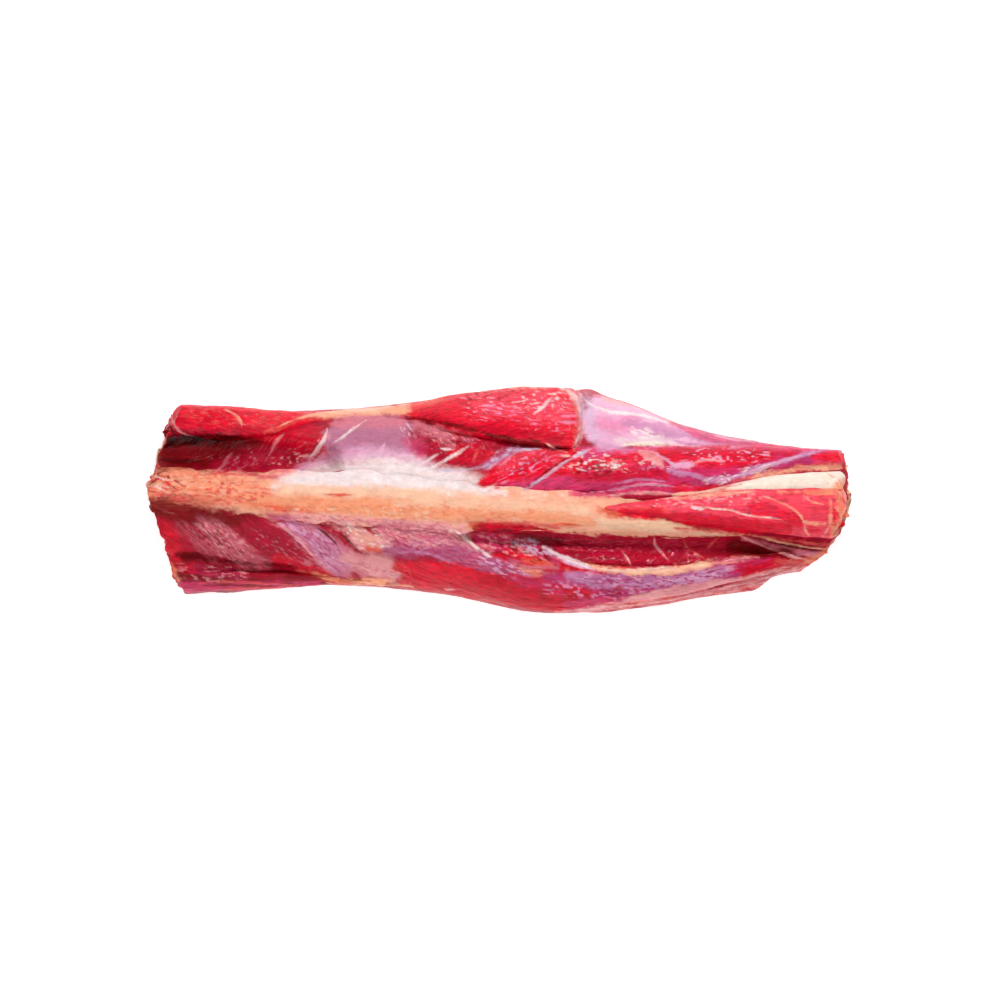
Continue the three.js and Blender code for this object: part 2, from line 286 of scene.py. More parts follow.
def moist_flesh(name, fibre, depth, roughness, wet):
    """A wet finish. Its colour is the piece's own tone, broken up by fibres that follow its grain.
    The tone's alpha is the film, which hides the fibres and makes the surface smoother."""
    material = bpy.data.materials.new(name)
    material.use_nodes = True
    nodes, links = material.node_tree.nodes, material.node_tree.links
    shader = nodes["Principled BSDF"]
    shade_of, grain = nodes.new("ShaderNodeAttribute"), nodes.new("ShaderNodeAttribute")
    shade_of.attribute_name, grain.attribute_name = "tone", "grain"
    place = nodes.new("ShaderNodeTexCoord").outputs["Object"]

    def pattern(vector, scale, stretch, detail):
        turn = nodes.new("ShaderNodeMapping")
        turn.inputs["Scale"].default_value = stretch
        links.new(vector, turn.inputs["Vector"])
        texture = nodes.new("ShaderNodeTexNoise")
        texture.inputs["Scale"].default_value = scale
        texture.inputs["Detail"].default_value = detail
        texture.inputs["Distortion"].default_value = 0.6
        links.new(turn.outputs["Vector"], texture.inputs["Vector"])
        return texture.outputs["Fac"]

    def ranged(value, low, high, to_low, to_high):
        scale = nodes.new("ShaderNodeMapRange")
        for key, number in zip((1, 2, 3, 4), (low, high, to_low, to_high)):
            scale.inputs[key].default_value = number
        links.new(value, scale.inputs[0])
        return scale.outputs[0]

    def calculate(operation, first, second):
        step = nodes.new("ShaderNodeMath")
        step.operation = operation
        for socket, value in zip(step.inputs, (first, second)):
            if isinstance(value, (int, float)):
                socket.default_value = value
            else:
                links.new(value, socket)
        return step.outputs[0]

    fibres = pattern(grain.outputs["Vector"], 1000 / fibre, (0.16, 1, 1), 1)
    specks = pattern(place, 480, (1, 1, 1), 1)
    clouds = pattern(place, 90, (1, 1, 1), 3)
    bare = calculate("SUBTRACT", 1, calculate("MULTIPLY", shade_of.outputs["Alpha"], 0.8))
    swing = calculate("SUBTRACT", ranged(fibres, 0.3, 0.7, 0.75, 1.25), 1)
    shade = calculate("ADD", calculate("MULTIPLY", swing, bare), 1)
    shade = calculate("MULTIPLY", shade, ranged(clouds, 0.3, 0.7, 0.95, 1.05))
    shade = calculate("MULTIPLY", shade, ranged(specks, 0.3, 0.7, 0.95, 1.05))
    scaled = nodes.new("ShaderNodeVectorMath")
    scaled.operation = "SCALE"
    links.new(shade_of.outputs["Color"], scaled.inputs[0])
    links.new(shade, scaled.inputs["Scale"])
    links.new(scaled.outputs["Vector"], shader.inputs["Base Color"])
    rough = calculate("ADD", calculate("MULTIPLY", specks, 0.3), roughness - 0.15)
    links.new(rough, shader.inputs["Roughness"])
    height = calculate("ADD", calculate("MULTIPLY", fibres, bare), calculate("MULTIPLY", specks, 0.4))
    bump = nodes.new("ShaderNodeBump")
    bump.inputs["Strength"].default_value = 1.0
    bump.inputs["Distance"].default_value = depth * MM
    links.new(height, bump.inputs["Height"])
    links.new(bump.outputs["Normal"], shader.inputs["Normal"])
    links.new(bump.outputs["Normal"], shader.inputs["Coat Normal"])
    shader.inputs["Subsurface Weight"].default_value = 0.35
    shader.inputs["Subsurface Radius"].default_value = (1.0, 0.35, 0.25)
    shader.inputs["Subsurface Scale"].default_value = 2.5 * MM
    shader.inputs["Coat Weight"].default_value = wet
    shader.inputs["Coat Roughness"].default_value = 0.1
    shader.inputs["Coat IOR"].default_value = 1.33
    shader.inputs["Specular IOR Level"].default_value = 0.06
    return material


MUSCLE = moist_flesh("moist_muscle", 1.1, 0.6, 0.42, 0.35)


def side_colours(points, colour, film, facing):
    """Where a surface turns away from above, layers of muscle and thin fat take over: bands of
    noise that are long in x and thin in height, paler towards the narrow end of the near side."""
    x, y, z = points[..., 0], points[..., 1], points[..., 2]
    bands = fractal(x / 34 + 0.7 * noise(x / 6, z / 2, 41), z / 3.2 + y / 7 + x / 45, 40) + 0.25 * smooth_step(20, 110, x) * (y < 0)
    pale = smooth_step(0.15, 0.45, bands)[..., None]
    layered = FINISHES["wine"][0] * (1 - pale) + FINISHES["salmon"][0] * pale
    thin = smooth_step(0.55, 0.75, bands)[..., None]
    layered = layered * (1 - thin) + FINISHES["peach"][0] * thin
    share = smooth_step(-0.32, 0.05, -facing)
    mixed = colour * (1 - share[..., None]) + layered * share[..., None]
    return mixed, film * (1 - share) + 0.35 * pale[..., 0] * share


def relief_of(points, depth, seed, lean):
    """Low folds and fibres for a grid: fractal noise, long in the direction of the fibres, whose
    slope from the x axis is lean."""
    x, y, z = points[..., 0], points[..., 1], points[..., 2]
    over = y + z - lean * x
    folds = fractal(x / 16, over / 6, seed, 2)
    fibres = noise(x / 6, over / 1.7, seed + 3) + 0.6 * noise(x / 2.5, over / 1.3, seed + 7)
    return depth * (folds + 0.3 * fibres) * smooth_step(HALF_LENGTH, HALF_LENGTH - 6, np.abs(x))


FAR_STROKES = [
    # the rolled flank, its fat rim and the shadow under it
    stroke("bright_red", (-196, 50, 7), (-165, 50, 9), (-128, 51, 6), (-105, 52, 3), soft=6),
    # painted shade: the lower side of the roll, darker red where it turns from the light
    stroke("wine", (-198, 42, 3), (-170, 40, 3), (-140, 41, 2.4), soft=5, strength=0.8),
    stroke("shade", (-204, 35, 4), (-176, 35, 4.4), (-154, 36, 3), (-143, 36, 1.4), soft=4),
    # painted shade: deep red in the hollow below the roll, deepest at the broad end
    stroke("deep_red", (-208, 24, 8), (-180, 25, 8), (-160, 28, 8), (-140, 30, 5), soft=7),
    strand("shade", 1.3, (-208, 26), (-198, 24), (-186, 23), (-176, 24), rise=-0.6),
    stroke("wine", (-170, 19, 4), (-150, 22, 7), (-134, 26, 8), (-118, 28, 8), soft=7),
    stroke("red", (-152, 42, 3), (-134, 38, 6), (-118, 38, 8), (-108, 36, 7), soft=6, strength=0.8),
    flecks_and_glints("salmon", (-188, 52, 3), (-170, 50, 5), (-150, 48, 4), (-120, 50, 4), sparse=0.3, strength=0.7),
    strand("peach", 0.7, (-165, 54), (-159, 51), (-155, 47), (-154, 42)),
    strand("pale_pink", 0.6, (-197, 49), (-194, 44), (-190, 40), (-182, 38)),
    stroke("salmon", (-150, 55, 1), (-126, 54, 1.2), (-100, 56, 1.6), soft=2, streak=0.5, rise=0.3),
    stroke("salmon", (-140, 41, 0.8), (-130, 44, 1.2), (-120, 49, 1.6), (-104, 51, 2), soft=2, streak=0.3, rise=0.4),
    strand("peach", 0.8, (-134, 43), (-126, 47), (-116, 50), (-100, 53), (-84, 54)),
    stroke("peach", (-112, 50, 1), (-96, 52, 3), (-76, 53, 3.6), (-56, 55, 3.6), soft=3, rise=0.5),
    stroke("orange", (-104, 51, 1), (-80, 51, 2), (-58, 53, 2.4), soft=2.5, strength=0.8, streak=0.5),
    # sinew over the shaded muscle in the hollow, up to its round edge
    flecks_and_glints("grey_pink", (-178, 14, 2), (-160, 19, 5), (-144, 27, 6), sparse=0.3, strength=0.7),
    strand("grey_pink", 0.8, (-173, 15), (-167, 19), (-164, 24), (-160, 29)),
    strand("pale_pink", 0.7, (-141, 22), (-137, 29), (-133, 36), (-127, 41)),
    strand("grey_pink", 0.8, (-122, 23), (-112, 27), (-108, 31), (-104, 37)),
    flecks_and_glints("pale_pink", (-134, 22, 3), (-120, 26, 4), (-110, 30, 3), sparse=0.35),
    stroke("rose", (-150, 13, 2), (-132, 14, 3), (-118, 17, 2.4), soft=4, strength=0.7, streak=0.4),
    # the lilac silverskin and the white film below it, with a painted sheen over the white film
    stroke("silverskin", (-101, 36, 6), (-86, 38, 12), (-66, 38, 12), (-52, 37, 8), soft=5),
    stroke("grey_pink", (-98, 46, 3), (-78, 47, 3.4), (-58, 46, 3), soft=4, strength=0.8),
    stroke("pale_lilac", (-118, 19, 2), (-100, 24, 4), (-74, 27, 5), (-44, 23, 3), soft=9, strength=0.85),
    # the white film, partly a painted sheen of light on the slope
    stroke("white_film_and_highlight", (-134, 10, 1), (-108, 14, 5), (-84, 16, 8), (-58, 16, 8), (-34, 13, 6), (-8, 10, 4), soft=9),
    stroke("cream", (-140, 8, 2), (-100, 7, 3), (-50, 6, 3), (-10, 5, 2), soft=5, strength=0.85),
    strand("white_film_and_highlight", 1.1, (-103, 46), (-104, 39), (-107, 33), (-111, 28), (-118, 23)),
    strand("white_film_and_highlight", 1.0, (-80, 48), (-87, 43), (-96, 36), (-102, 33)),
    flecks_and_glints("pale_pink", (-104, 38, 2), (-108, 30, 3), (-112, 26, 2), sparse=0.2, strength=0.7),
    strand("pale_lilac", 0.7, (-68, 35), (-71, 30), (-75, 26), (-78, 24)),
    flecks_and_glints("white_film_and_highlight", (-58, 46, 2), (-54, 41, 3), (-52, 37, 2), sparse=0.2),
    stroke("wine", (-50, 40, 4), (-44, 35, 8), (-40, 28, 6), soft=7, strength=0.85),
    stroke("rose", (-54, 36, 3), (-48, 30, 4), soft=7, strength=0.6),
    # between the silverskin, the blunt muscle and the long one
    stroke("grey_pink", (-50, 45, 3), (-34, 42, 4), (-18, 38, 3), soft=4, strength=0.85),
    stroke("grey_pink", (-36, 40, 3), (-31, 34, 2.4), (-27, 30, 1.6), soft=4, strength=0.6),
    flecks_and_glints("pale_pink", (-46, 44, 3), (-34, 39, 6), (-24, 31, 6), sparse=0.3, strength=0.6),
    flecks_and_glints("pale_lilac", (-20, 37, 2), (-14, 33, 3), (-10, 28, 3), sparse=0.15, strength=0.7),
    stroke("red", (-28, 26, 3), (-18, 28, 5), (-8, 28, 5), soft=4),
    stroke("wine", (-8, 35, 2), (8, 36, 3), (22, 35, 2.4), soft=4, strength=0.9),
    stroke("lilac", (-10, 20, 1.6), (0, 24, 2.4), (8, 28.4, 2.2), (18, 30.6, 1.2), soft=4, strength=0.85, streak=0.3),
    flecks_and_glints("blue_film_and_highlight", (-6, 20, 3), (2, 25, 3.2), (10, 29, 2.6), sparse=0.15),
    strand("white_film_and_highlight", 1.0, (-16, 34), (-22, 30), (-28, 26), (-39, 20), (-46, 16)),
    strand("white_film_and_highlight", 0.8, (-34, 29), (-41, 25), (-50, 19)),
    strand("white_film_and_highlight", 0.8, (-26, 31), (-32, 30), (-36, 31)),
    strand("salmon", 0.8, (-9, 33), (-14, 29), (-16, 23)),
    strand("blue_film_and_highlight", 0.6, (-54, 22), (-35, 18), (-22, 18), (-8, 20), (0, 22)),
    stroke("shade", (2, 37, 1), (14, 35, 3), (26, 32, 3.2), (40, 29, 1.4), soft=3),
    # the blunt muscle
    stroke("bright_red", (-52, 56, 3), (-30, 54, 7), (0, 54, 13), (30, 52, 14), soft=5),
    stroke("red_orange", (-62, 57, 1), (-50, 58, 2.4), (-36, 61, 2), soft=5, strength=0.7),
    stroke("pink_red", (-10, 57, 6), (14, 56, 8), (34, 54, 9), soft=7, strength=0.65),
    # painted shade: the lower part of the blunt muscle, partly its own red and partly darkened on the side turned from
    # the light; the deep red line under it is a painted shadow in the gap
    stroke("red", (-46, 51, 2), (-20, 42, 4), (10, 38, 5), (34, 36, 4), soft=5),
    stroke("deep_red", (-56, 49, 0.8), (-32, 45.5, 1), (-8, 39.5, 1.3), (10, 35, 2.2), (22, 32.5, 2.2), (32, 30, 0.8), soft=2.4),
    stroke("peach", (-60, 58, 1), (-30, 64, 1), (0, 68, 1.2), (30, 69, 1), soft=2, strength=0.7),
    # painted glints: the lilac, pink and white flecks on the blunt muscle are highlights of its wet surface
    flecks_and_glints("pale_lilac", (-20, 56, 4), (-8, 55, 6), (2, 54, 4), sparse=0.3, strength=0.7),
    flecks_and_glints("pink_film_and_highlight", (0, 54, 6), (20, 52, 10), (38, 52, 10), sparse=0.42, strength=0.6),
    flecks_and_glints("white_film_and_highlight", (12, 58, 4), (30, 60, 5), (40, 57, 4), sparse=0.45, strength=0.7),
    flecks_and_glints("deep_red", (-24, 62, 2), (0, 64, 2), (20, 64, 3), sparse=0.25),
    strand("white_film_and_highlight", 0.9, (32, 63), (28, 58), (24, 54), (20, 51)),
    stroke("salmon", (38, 66, 1.6), (45, 60, 1.8), (46, 46, 1.8), (45, 32, 1.4), soft=3, strength=0.8, streak=0.4),
    stroke("white_film_and_highlight", (36, 68, 0.8), (44, 63, 1.4), (48, 55, 1.8), (48.6, 44, 1.8), (45, 32, 0.8), soft=5, strength=0.8, streak=0.3),
    strand("ivory", 0.7, (27, 34), (32, 31), (37, 28.6), (43, 28)),
    # the right-hand silverskin
    stroke("pale_lilac", (66, 47, 17), (78, 48, 14), (96, 43, 11), (120, 38, 6), (140, 35, 3), soft=4),
    stroke("pink_film_and_highlight", (58, 46, 4), (68, 45, 5), (80, 46, 4), soft=7, strength=0.95),
    stroke("pale_pink", (64, 62, 3), (84, 57, 2), (104, 49, 1.6), soft=3, strength=0.8),
    stroke("lilac", (74, 46, 2), (90, 44, 3.4), (108, 40, 3.4), (124, 37, 2.4), soft=4, strength=0.85),
    stroke("blue_film_and_highlight", (53, 60, 3), (54, 48, 3), (57, 38, 3), soft=9, strength=0.6),
    # the white strip low on the silverskin: fascia, with a painted highlight on it
    stroke("white_film_and_highlight", (70, 35, 1.4), (90, 36, 1.4), (108, 36, 1), soft=3, strength=0.7, streak=0.3),
    strand("white_film_and_highlight", 1.2, (46, 66), (53, 58), (61, 54), (70, 52), (84, 51), (99, 47), (114, 42)),
    strand("pale_pink", 0.9, (60, 64), (76, 60), (96, 52), (120, 43), (140, 38)),
    # painted glints on the silverskin
    flecks_and_glints("white_film_and_highlight", (77, 41, 2), (84, 40, 3), (90, 39, 2), sparse=-0.1),
    # the ivory band: fascia, with a painted highlight on it
    strand("ivory", 1.6, (70, 32), (82, 33.5), (96, 33.5), (110, 32)),
    stroke("rose", (104, 46, 0.8), (124, 39, 2), (150, 34, 3), (205, 30, 3), soft=4, strength=0.85),
    stroke("magenta", (120, 38, 2), (140, 34, 2.4), (160, 33, 2), soft=4, strength=0.6, streak=0.4),
    strand("lilac", 1.0, (96, 38), (112, 34), (130, 33), (150, 33)),
    strand("pale_lilac", 0.8, (118, 41), (140, 37), (165, 34), (196, 31)),
    # the long muscle with its veins
    stroke("bright_red", (-8, 11, 5), (8, 18, 7), (26, 22, 8), (44, 22, 7), soft=4),
    stroke("pink_red", (2, 20, 4), (18, 26, 5), (34, 28, 4), soft=5, strength=0.5),
    stroke("red", (46, 14, 3), (64, 14, 4), (82, 15, 4), (108, 13, 3), soft=4, strength=0.8),
    stroke("bright_red", (56, 20, 4), (76, 24, 5), (96, 26, 4), (128, 24, 5), (160, 25, 4), soft=4, strength=0.9),
    stroke("red", (90, 27, 3), (110, 29, 3.4), (140, 29, 3), (180, 28, 3), soft=4, strength=0.7),
    stroke("lilac", (60, 30, 2), (76, 30, 2), (92, 29, 1.4), soft=3, strength=0.7, streak=0.4),
    stroke("blue_film_and_highlight", (54, 30, 0.6), (45, 26, 0.9), (34, 19, 0.8), (24, 12, 0.6), (15, 6, 0.4), soft=1.2, streak=0.4, rise=0.7),
    strand("deep_red", 0.6, (46, 28.4), (34, 21.4), (24, 14.4), (16, 8), rise=-0.5),
    strand("blue_film_and_highlight", 0.6, (2, 22), (10, 28.6), (18, 30.2), (26, 30)),
    # painted glints: the pink and white flecks on the long muscle are highlights of its wet surface; the deep red
    # flecks are marks of colour
    flecks_and_glints("pink_film_and_highlight", (2, 16, 5), (16, 22, 7), (30, 26, 5), sparse=0.35),
    flecks_and_glints("white_film_and_highlight", (40, 23, 4), (52, 22, 6), (66, 22, 5), sparse=0.25, strength=0.75),
    flecks_and_glints("deep_red", (44, 20, 4), (56, 18, 5), (68, 20, 5), sparse=0.2, rise=-0.4),
    flecks_and_glints("white_film_and_highlight", (68, 22, 3), (78, 20, 3), (90, 24, 4), sparse=0.25),
    stroke("pale_pink", (84, 28, 1), (91, 25, 2.4), (96, 21, 1.6), soft=2.4, streak=0.4, rise=0.5),
    stroke("pale_lilac", (103, 20, 0.8), (108, 20.4, 1.6), (113, 20.4, 1), soft=2.4, strength=0.9, rise=0.6),
    strand("pale_lilac", 0.8, (90, 29), (97, 25), (102, 22), (104, 20)),
    strand("pale_pink", 0.8, (113, 20), (119, 23), (126, 24), (134, 22)),
    flecks_and_glints("pale_lilac", (112, 25, 4), (134, 27, 4), (158, 26, 3), sparse=0.4),
    stroke("magenta", (104, 15, 2.4), (120, 11, 2.6), (140, 13, 4), (160, 19, 4), (184, 25, 3), soft=3, strength=0.8),
    stroke("lilac", (100, 18, 0.8), (114, 15, 1.1), (126, 12, 1.4), (138, 13, 2), (152, 18, 2), (172, 24, 1.4), (198, 31, 0.8), soft=2, rise=0.6),
    strand("pale_lilac", 1.0, (122, 12), (136, 13), (150, 17), (164, 22), (184, 27), (200, 31)),
    # painted glints on the lilac streak
    flecks_and_glints("white_film_and_highlight", (124, 12, 2), (142, 15, 3), (160, 21, 2), sparse=0.25),
    stroke("salmon", (140, 11, 1), (160, 15, 2), (180, 19, 2), (204, 22, 2), soft=3, strength=0.9, streak=0.4),
    stroke("peach", (150, 13, 1), (168, 17, 1.6), (184, 19.4, 1.6), (203, 20.4, 1.6), soft=2.4, streak=0.3),
    stroke("bright_red", (188, 25, 1.6), (200, 26, 2.6), (207, 24, 2), soft=2.4),
    stroke("wine", (192, 16, 0.8), (198, 16, 1.3), (203, 15.6, 1), soft=1.6),
    # pink folds between the long muscle and the tendon
    stroke("rose", (44, 5, 3), (66, 6, 4), (90, 9, 4), (112, 5, 3), soft=4, strength=0.9),
    strand("pale_lilac", 1.0, (52, 4), (66, 6), (84, 9), (98, 9), (110, 6)),
    strand("pale_pink", 1.1, (60, 2), (78, 4), (96, 4), (116, 2)),
    strand("lilac", 0.9, (66, 9), (82, 12), (98, 11)),
    stroke("bright_red", (104, 6, 2), (120, 6, 2), (140, 7, 1.6), soft=3, strength=0.8),
]


def cut_colours(points, rim):
    """The cut face: muscle with pale marbling, a seam round each eye muscle, and a fatty rim."""
    y, z = np.abs(points[..., 1]), points[..., 2]
    fleck = smooth_step(0.35, 0.6, fractal(y / 4.5, z / 4.5, 21))[..., None]
    colour = FINISHES["red"][0] * (1 - 0.5 * fleck) + FINISHES["salmon"][0] * 0.5 * fleck
    seams = [
        ((4, 50, 0.6), (20, 47, 0.7), (32, 40, 0.8), (38, 30, 0.8)),
        ((8, 24, 0.7), (24, 23, 0.6), (40, 20, 0.9), (50, 18, 0.7)),
        ((12, 14, 0.6), (24, 10, 0.8), (38, 10, 0.6)),
    ]
    film = np.zeros(y.shape)
    for seed, path in enumerate(seams):
        share = cover(y, z, path, 1.2, 0, 0, 60 + seed)
        colour = colour * (1 - share[..., None]) + FINISHES["peach"][0] * share[..., None]
        film = np.maximum(film, share)
    fatty = smooth_step(1.0, 0.2, rim + 0.8 * fractal(y / 9, z / 9, 23))[..., None]
    fatty = fatty * smooth_step(0.5, 3, y)[..., None]
    return colour * (1 - fatty) + FINISHES["salmon"][0] * fatty, np.maximum(film, 0.6 * fatty[..., 0])


def half_loin(name, side, strokes, seed, lean):
    """One half of the loin. A ring at x runs down the slope as y = flank * cos(a)^(2 / 2.1), round
    the belly by the same angle, and back up a flat wall by the spine. At each end the rings shrink
    towards the middle of the cut face. lean is the slope of the fibres at equal steps along x."""
    slope_steps, belly_steps, wall_steps, cut_steps, spacing = 114, 24, 3, 26, 0.67
    x = np.linspace(-HALF_LENGTH, HALF_LENGTH, int(2 * HALF_LENGTH / spacing))[:, None]
    angle = np.linspace(math.pi / 2, 0, slope_steps)
    lower = np.arcsin(np.linspace(0, 1, belly_steps + 1)[1:] ** (BELLY_POWER / 2))
    spread = lambda a: np.abs(np.cos(a)) ** (2 / ROOF_POWER)
    flank = flank_at(x, side)
    gap = 0.03
    slope_y = np.maximum(flank * spread(angle), gap)
    slope_z = slope_height(np.broadcast_to(x, slope_y.shape), side * slope_y)
    belly_y = np.maximum(flank * spread(lower), gap)
    sunk = FLANK_HEIGHT * BELLY_SINK * np.sin(lower) ** (2 / BELLY_POWER)
    belly_z = np.broadcast_to(np.maximum(FLANK_HEIGHT - sunk, 0), belly_y.shape)
    wall_share = np.linspace(0, 1, wall_steps + 2)[1:-1]
    wall_z = slope_z[:, :1] * wall_share
    wall_y = np.full(wall_z.shape, gap)
    ring_y = side * np.concatenate([slope_y, belly_y, wall_y], 1)
    ring_z = np.concatenate([slope_z, belly_z, wall_z], 1)
    body = np.stack([np.broadcast_to(x, ring_y.shape), ring_y, ring_z], -1)
    shrink = (1 - np.arange(1, cut_steps + 1) / (cut_steps + 1))[:, None, None]

    def cut(ring):
        middle = np.array([ring[0, 0], side * flank_at(ring[0, 0], side) * 0.5, ring[0, 2] * 0.45])
        return middle + (ring - middle) * shrink

    rings = np.concatenate([cut(body[0])[::-1], body, cut(body[-1])])
    if side > 0:
        rings = rings[:, ::-1]
    rings = bend_to_cut(rings)
    normal = outward(rings)
    colour, film, lift = paint(rings[..., 0], rings[..., 1], "wine", strokes)
    lift = lift * smooth_step(0.1, 0.4, normal[..., 2])
    colour, film = side_colours(rings, colour, film, normal[..., 2])
    for rows, rim in (
        (slice(0, cut_steps + 1), np.arange(cut_steps + 1)[::-1]),
        (slice(-cut_steps - 1, None), np.arange(cut_steps + 1)),
    ):
        inside = (rim / 3.0)[:, None] * np.ones(rings.shape[1])
        colour[rows], film[rows] = cut_colours(rings[rows], inside)
        lift[rows] = 0
    steps = np.linspace(-HALF_LENGTH, HALF_LENGTH, 200)
    drift = np.interp(rings[..., 0], steps, np.cumsum(along(lean, share_at(steps))) * (steps[1] - steps[0]))
    moved = rings + normal * (lift + relief_of(rings - drift[..., None] * [0, 1, 0], 0.45, seed, 0))[..., None]
    moved[..., 2] = np.maximum(moved[..., 2], 0)
    inner = np.abs(rings[..., 1]) < 0.3
    moved[inner] = rings[inner]
    height = rings[..., 2] * side
    grain = np.stack([rings[..., 0], rings[..., 1] - height - drift, np.zeros_like(height)], -1) * MM
    for rows in (slice(0, cut_steps + 1), slice(-cut_steps - 1, None)):
        face = rings[rows]
        grain[rows] = np.stack([face[..., 2] * 6, face[..., 1], 0 * face[..., 0]], -1) * MM
    tips = np.array([moved[0].mean(0), moved[-1].mean(0)])
    return closed_piece(name, moved, tips, colour, film, grain, MUSCLE)


def laid_rings(layer, spacing):
    """Rings of a piece that lies on the slope. The section at x is half_width wide and half_depth
    deep about a point lift above the slope at y, turned to the slope there: an oval where edge is
    1, with thinner rims as edge grows. Over each dome it shrinks by the sine of a quarter turn."""
    (start, end), (start_dome, end_dome) = layer["span"], layer["domes"]
    turn = np.linspace(0, math.pi / 2, 14)[1:-1]
    x = np.concatenate([
        start - start_dome * np.cos(turn),
        np.linspace(start, end, int((end - start) / spacing)),
        end + end_dome * np.sin(turn),
    ])
    scale = np.concatenate([np.sin(turn), np.ones(len(x) - 2 * len(turn)), np.cos(turn)])[:, None]
    x = np.concatenate([[start - start_dome], x, [end + end_dome]])[:, None]
    scale = np.concatenate([[[0.02]], scale, [[0.02]]])
    t = (x - start) / (end - start)
    y, half_width, half_depth, lift = (
        along(layer[key], t) for key in ("y", "half_width", "half_depth", "lift")
    )
    waver = layer.get("waver", 0.4)
    y = y + waver * fractal(x / 15, t, 8)
    half_width = half_width * (1 + 0.1 * waver * noise(x / 8, t, 9))
    step = half_width / 2
    lean = np.arctan((slope_height(x, y + step) - slope_height(x, y - step)) / (2 * step))
    perimeter = math.pi * 1.3 * np.max(half_width + half_depth)
    angle = np.linspace(0, 2 * math.pi, int(perimeter / spacing), endpoint=False)
    out = half_width * scale * np.cos(angle)
    up = half_depth * scale * np.sign(np.sin(angle)) * np.abs(np.sin(angle)) ** layer.get("edge", 1)
    z = slope_height(x, y) + lift
    rings = np.stack([
        np.broadcast_to(x, out.shape),
        y + out * np.cos(lean) - up * np.sin(lean),
        np.maximum(z + out * np.sin(lean) + up * np.cos(lean), 0.2),
    ], -1)
    return bend_to_cut(rings)


def laid_piece(name, layer, strokes, material, spacing=0.68, depth=0.4, seed=0):
    """A painted piece on the slope, with folds and fibres along its normals."""
    rings = laid_rings(layer, spacing)
    normal = outward(rings)
    colour, film, lift = paint(rings[..., 0], rings[..., 1], layer["base"], strokes)
    colour, film = side_colours(rings, colour, film, normal[..., 2] + layer.get("turn", 0.15))
    rough = relief_of(rings, depth, seed, layer["lean"])
    moved = rings + normal * (lift * smooth_step(0, 0.3, normal[..., 2]) + rough)[..., None]
    moved[..., 2] = np.maximum(moved[..., 2], 0.1)
    x, y, z = (rings[..., k] for k in range(3))
    across = y - z * np.sign(y.mean()) - layer["lean"] * x
    grain = np.stack([x + layer["lean"] * y, across, np.zeros_like(x)], -1) * MM
    tips = np.array([moved[0].mean(0), moved[-1].mean(0)])
    return closed_piece(name, moved, tips, colour, film, grain, material)


far_loin = half_loin("far_loin", 1, FAR_STROKES, 2, [0.5, 0.7, 0.6, 0.1, 0.4, 0.5, -0.1, -0.1, 0, 0])
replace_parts(far_loin, "meat")
FAR_MUSCLES = {
    "rolled_flank": {
        "span": (-200, -104), "domes": (6, 8), "lean": -0.25, "base": "bright_red", "edge": 1.1,
        "y": [47, 46, 46, 50], "half_width": [11, 12, 10, 4], "half_depth": [10, 10, 7, 2], "lift": [2, 2, 0, -2],
    },
    "blunt_far_muscle": {
        "span": (-64, 42), "domes": (8, 7), "lean": 0.1, "base": "bright_red", "edge": 1.15,
        "y": [52, 52, 51, 49], "half_width": [7, 17, 23, 24], "half_depth": [3, 7, 10, 11], "lift": [-2, -1, -1, -1],
    },
    "long_far_muscle": {
        "span": (-10, 204), "domes": (5, 2), "lean": 0.25, "base": "rose", "edge": 1.4,
        "y": [8, 17, 19, 22, 25, 24], "half_width": [3, 13, 13, 13, 10, 8], "half_depth": [3, 8, 7, 6, 6, 6],
        "lift": [-3, -2, -2, -2, -2, -2],
    },
}
for seed, (name, layer) in enumerate(FAR_MUSCLES.items()):
    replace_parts(laid_piece(name, layer, FAR_STROKES, MUSCLE, seed=10 * seed), "meat")

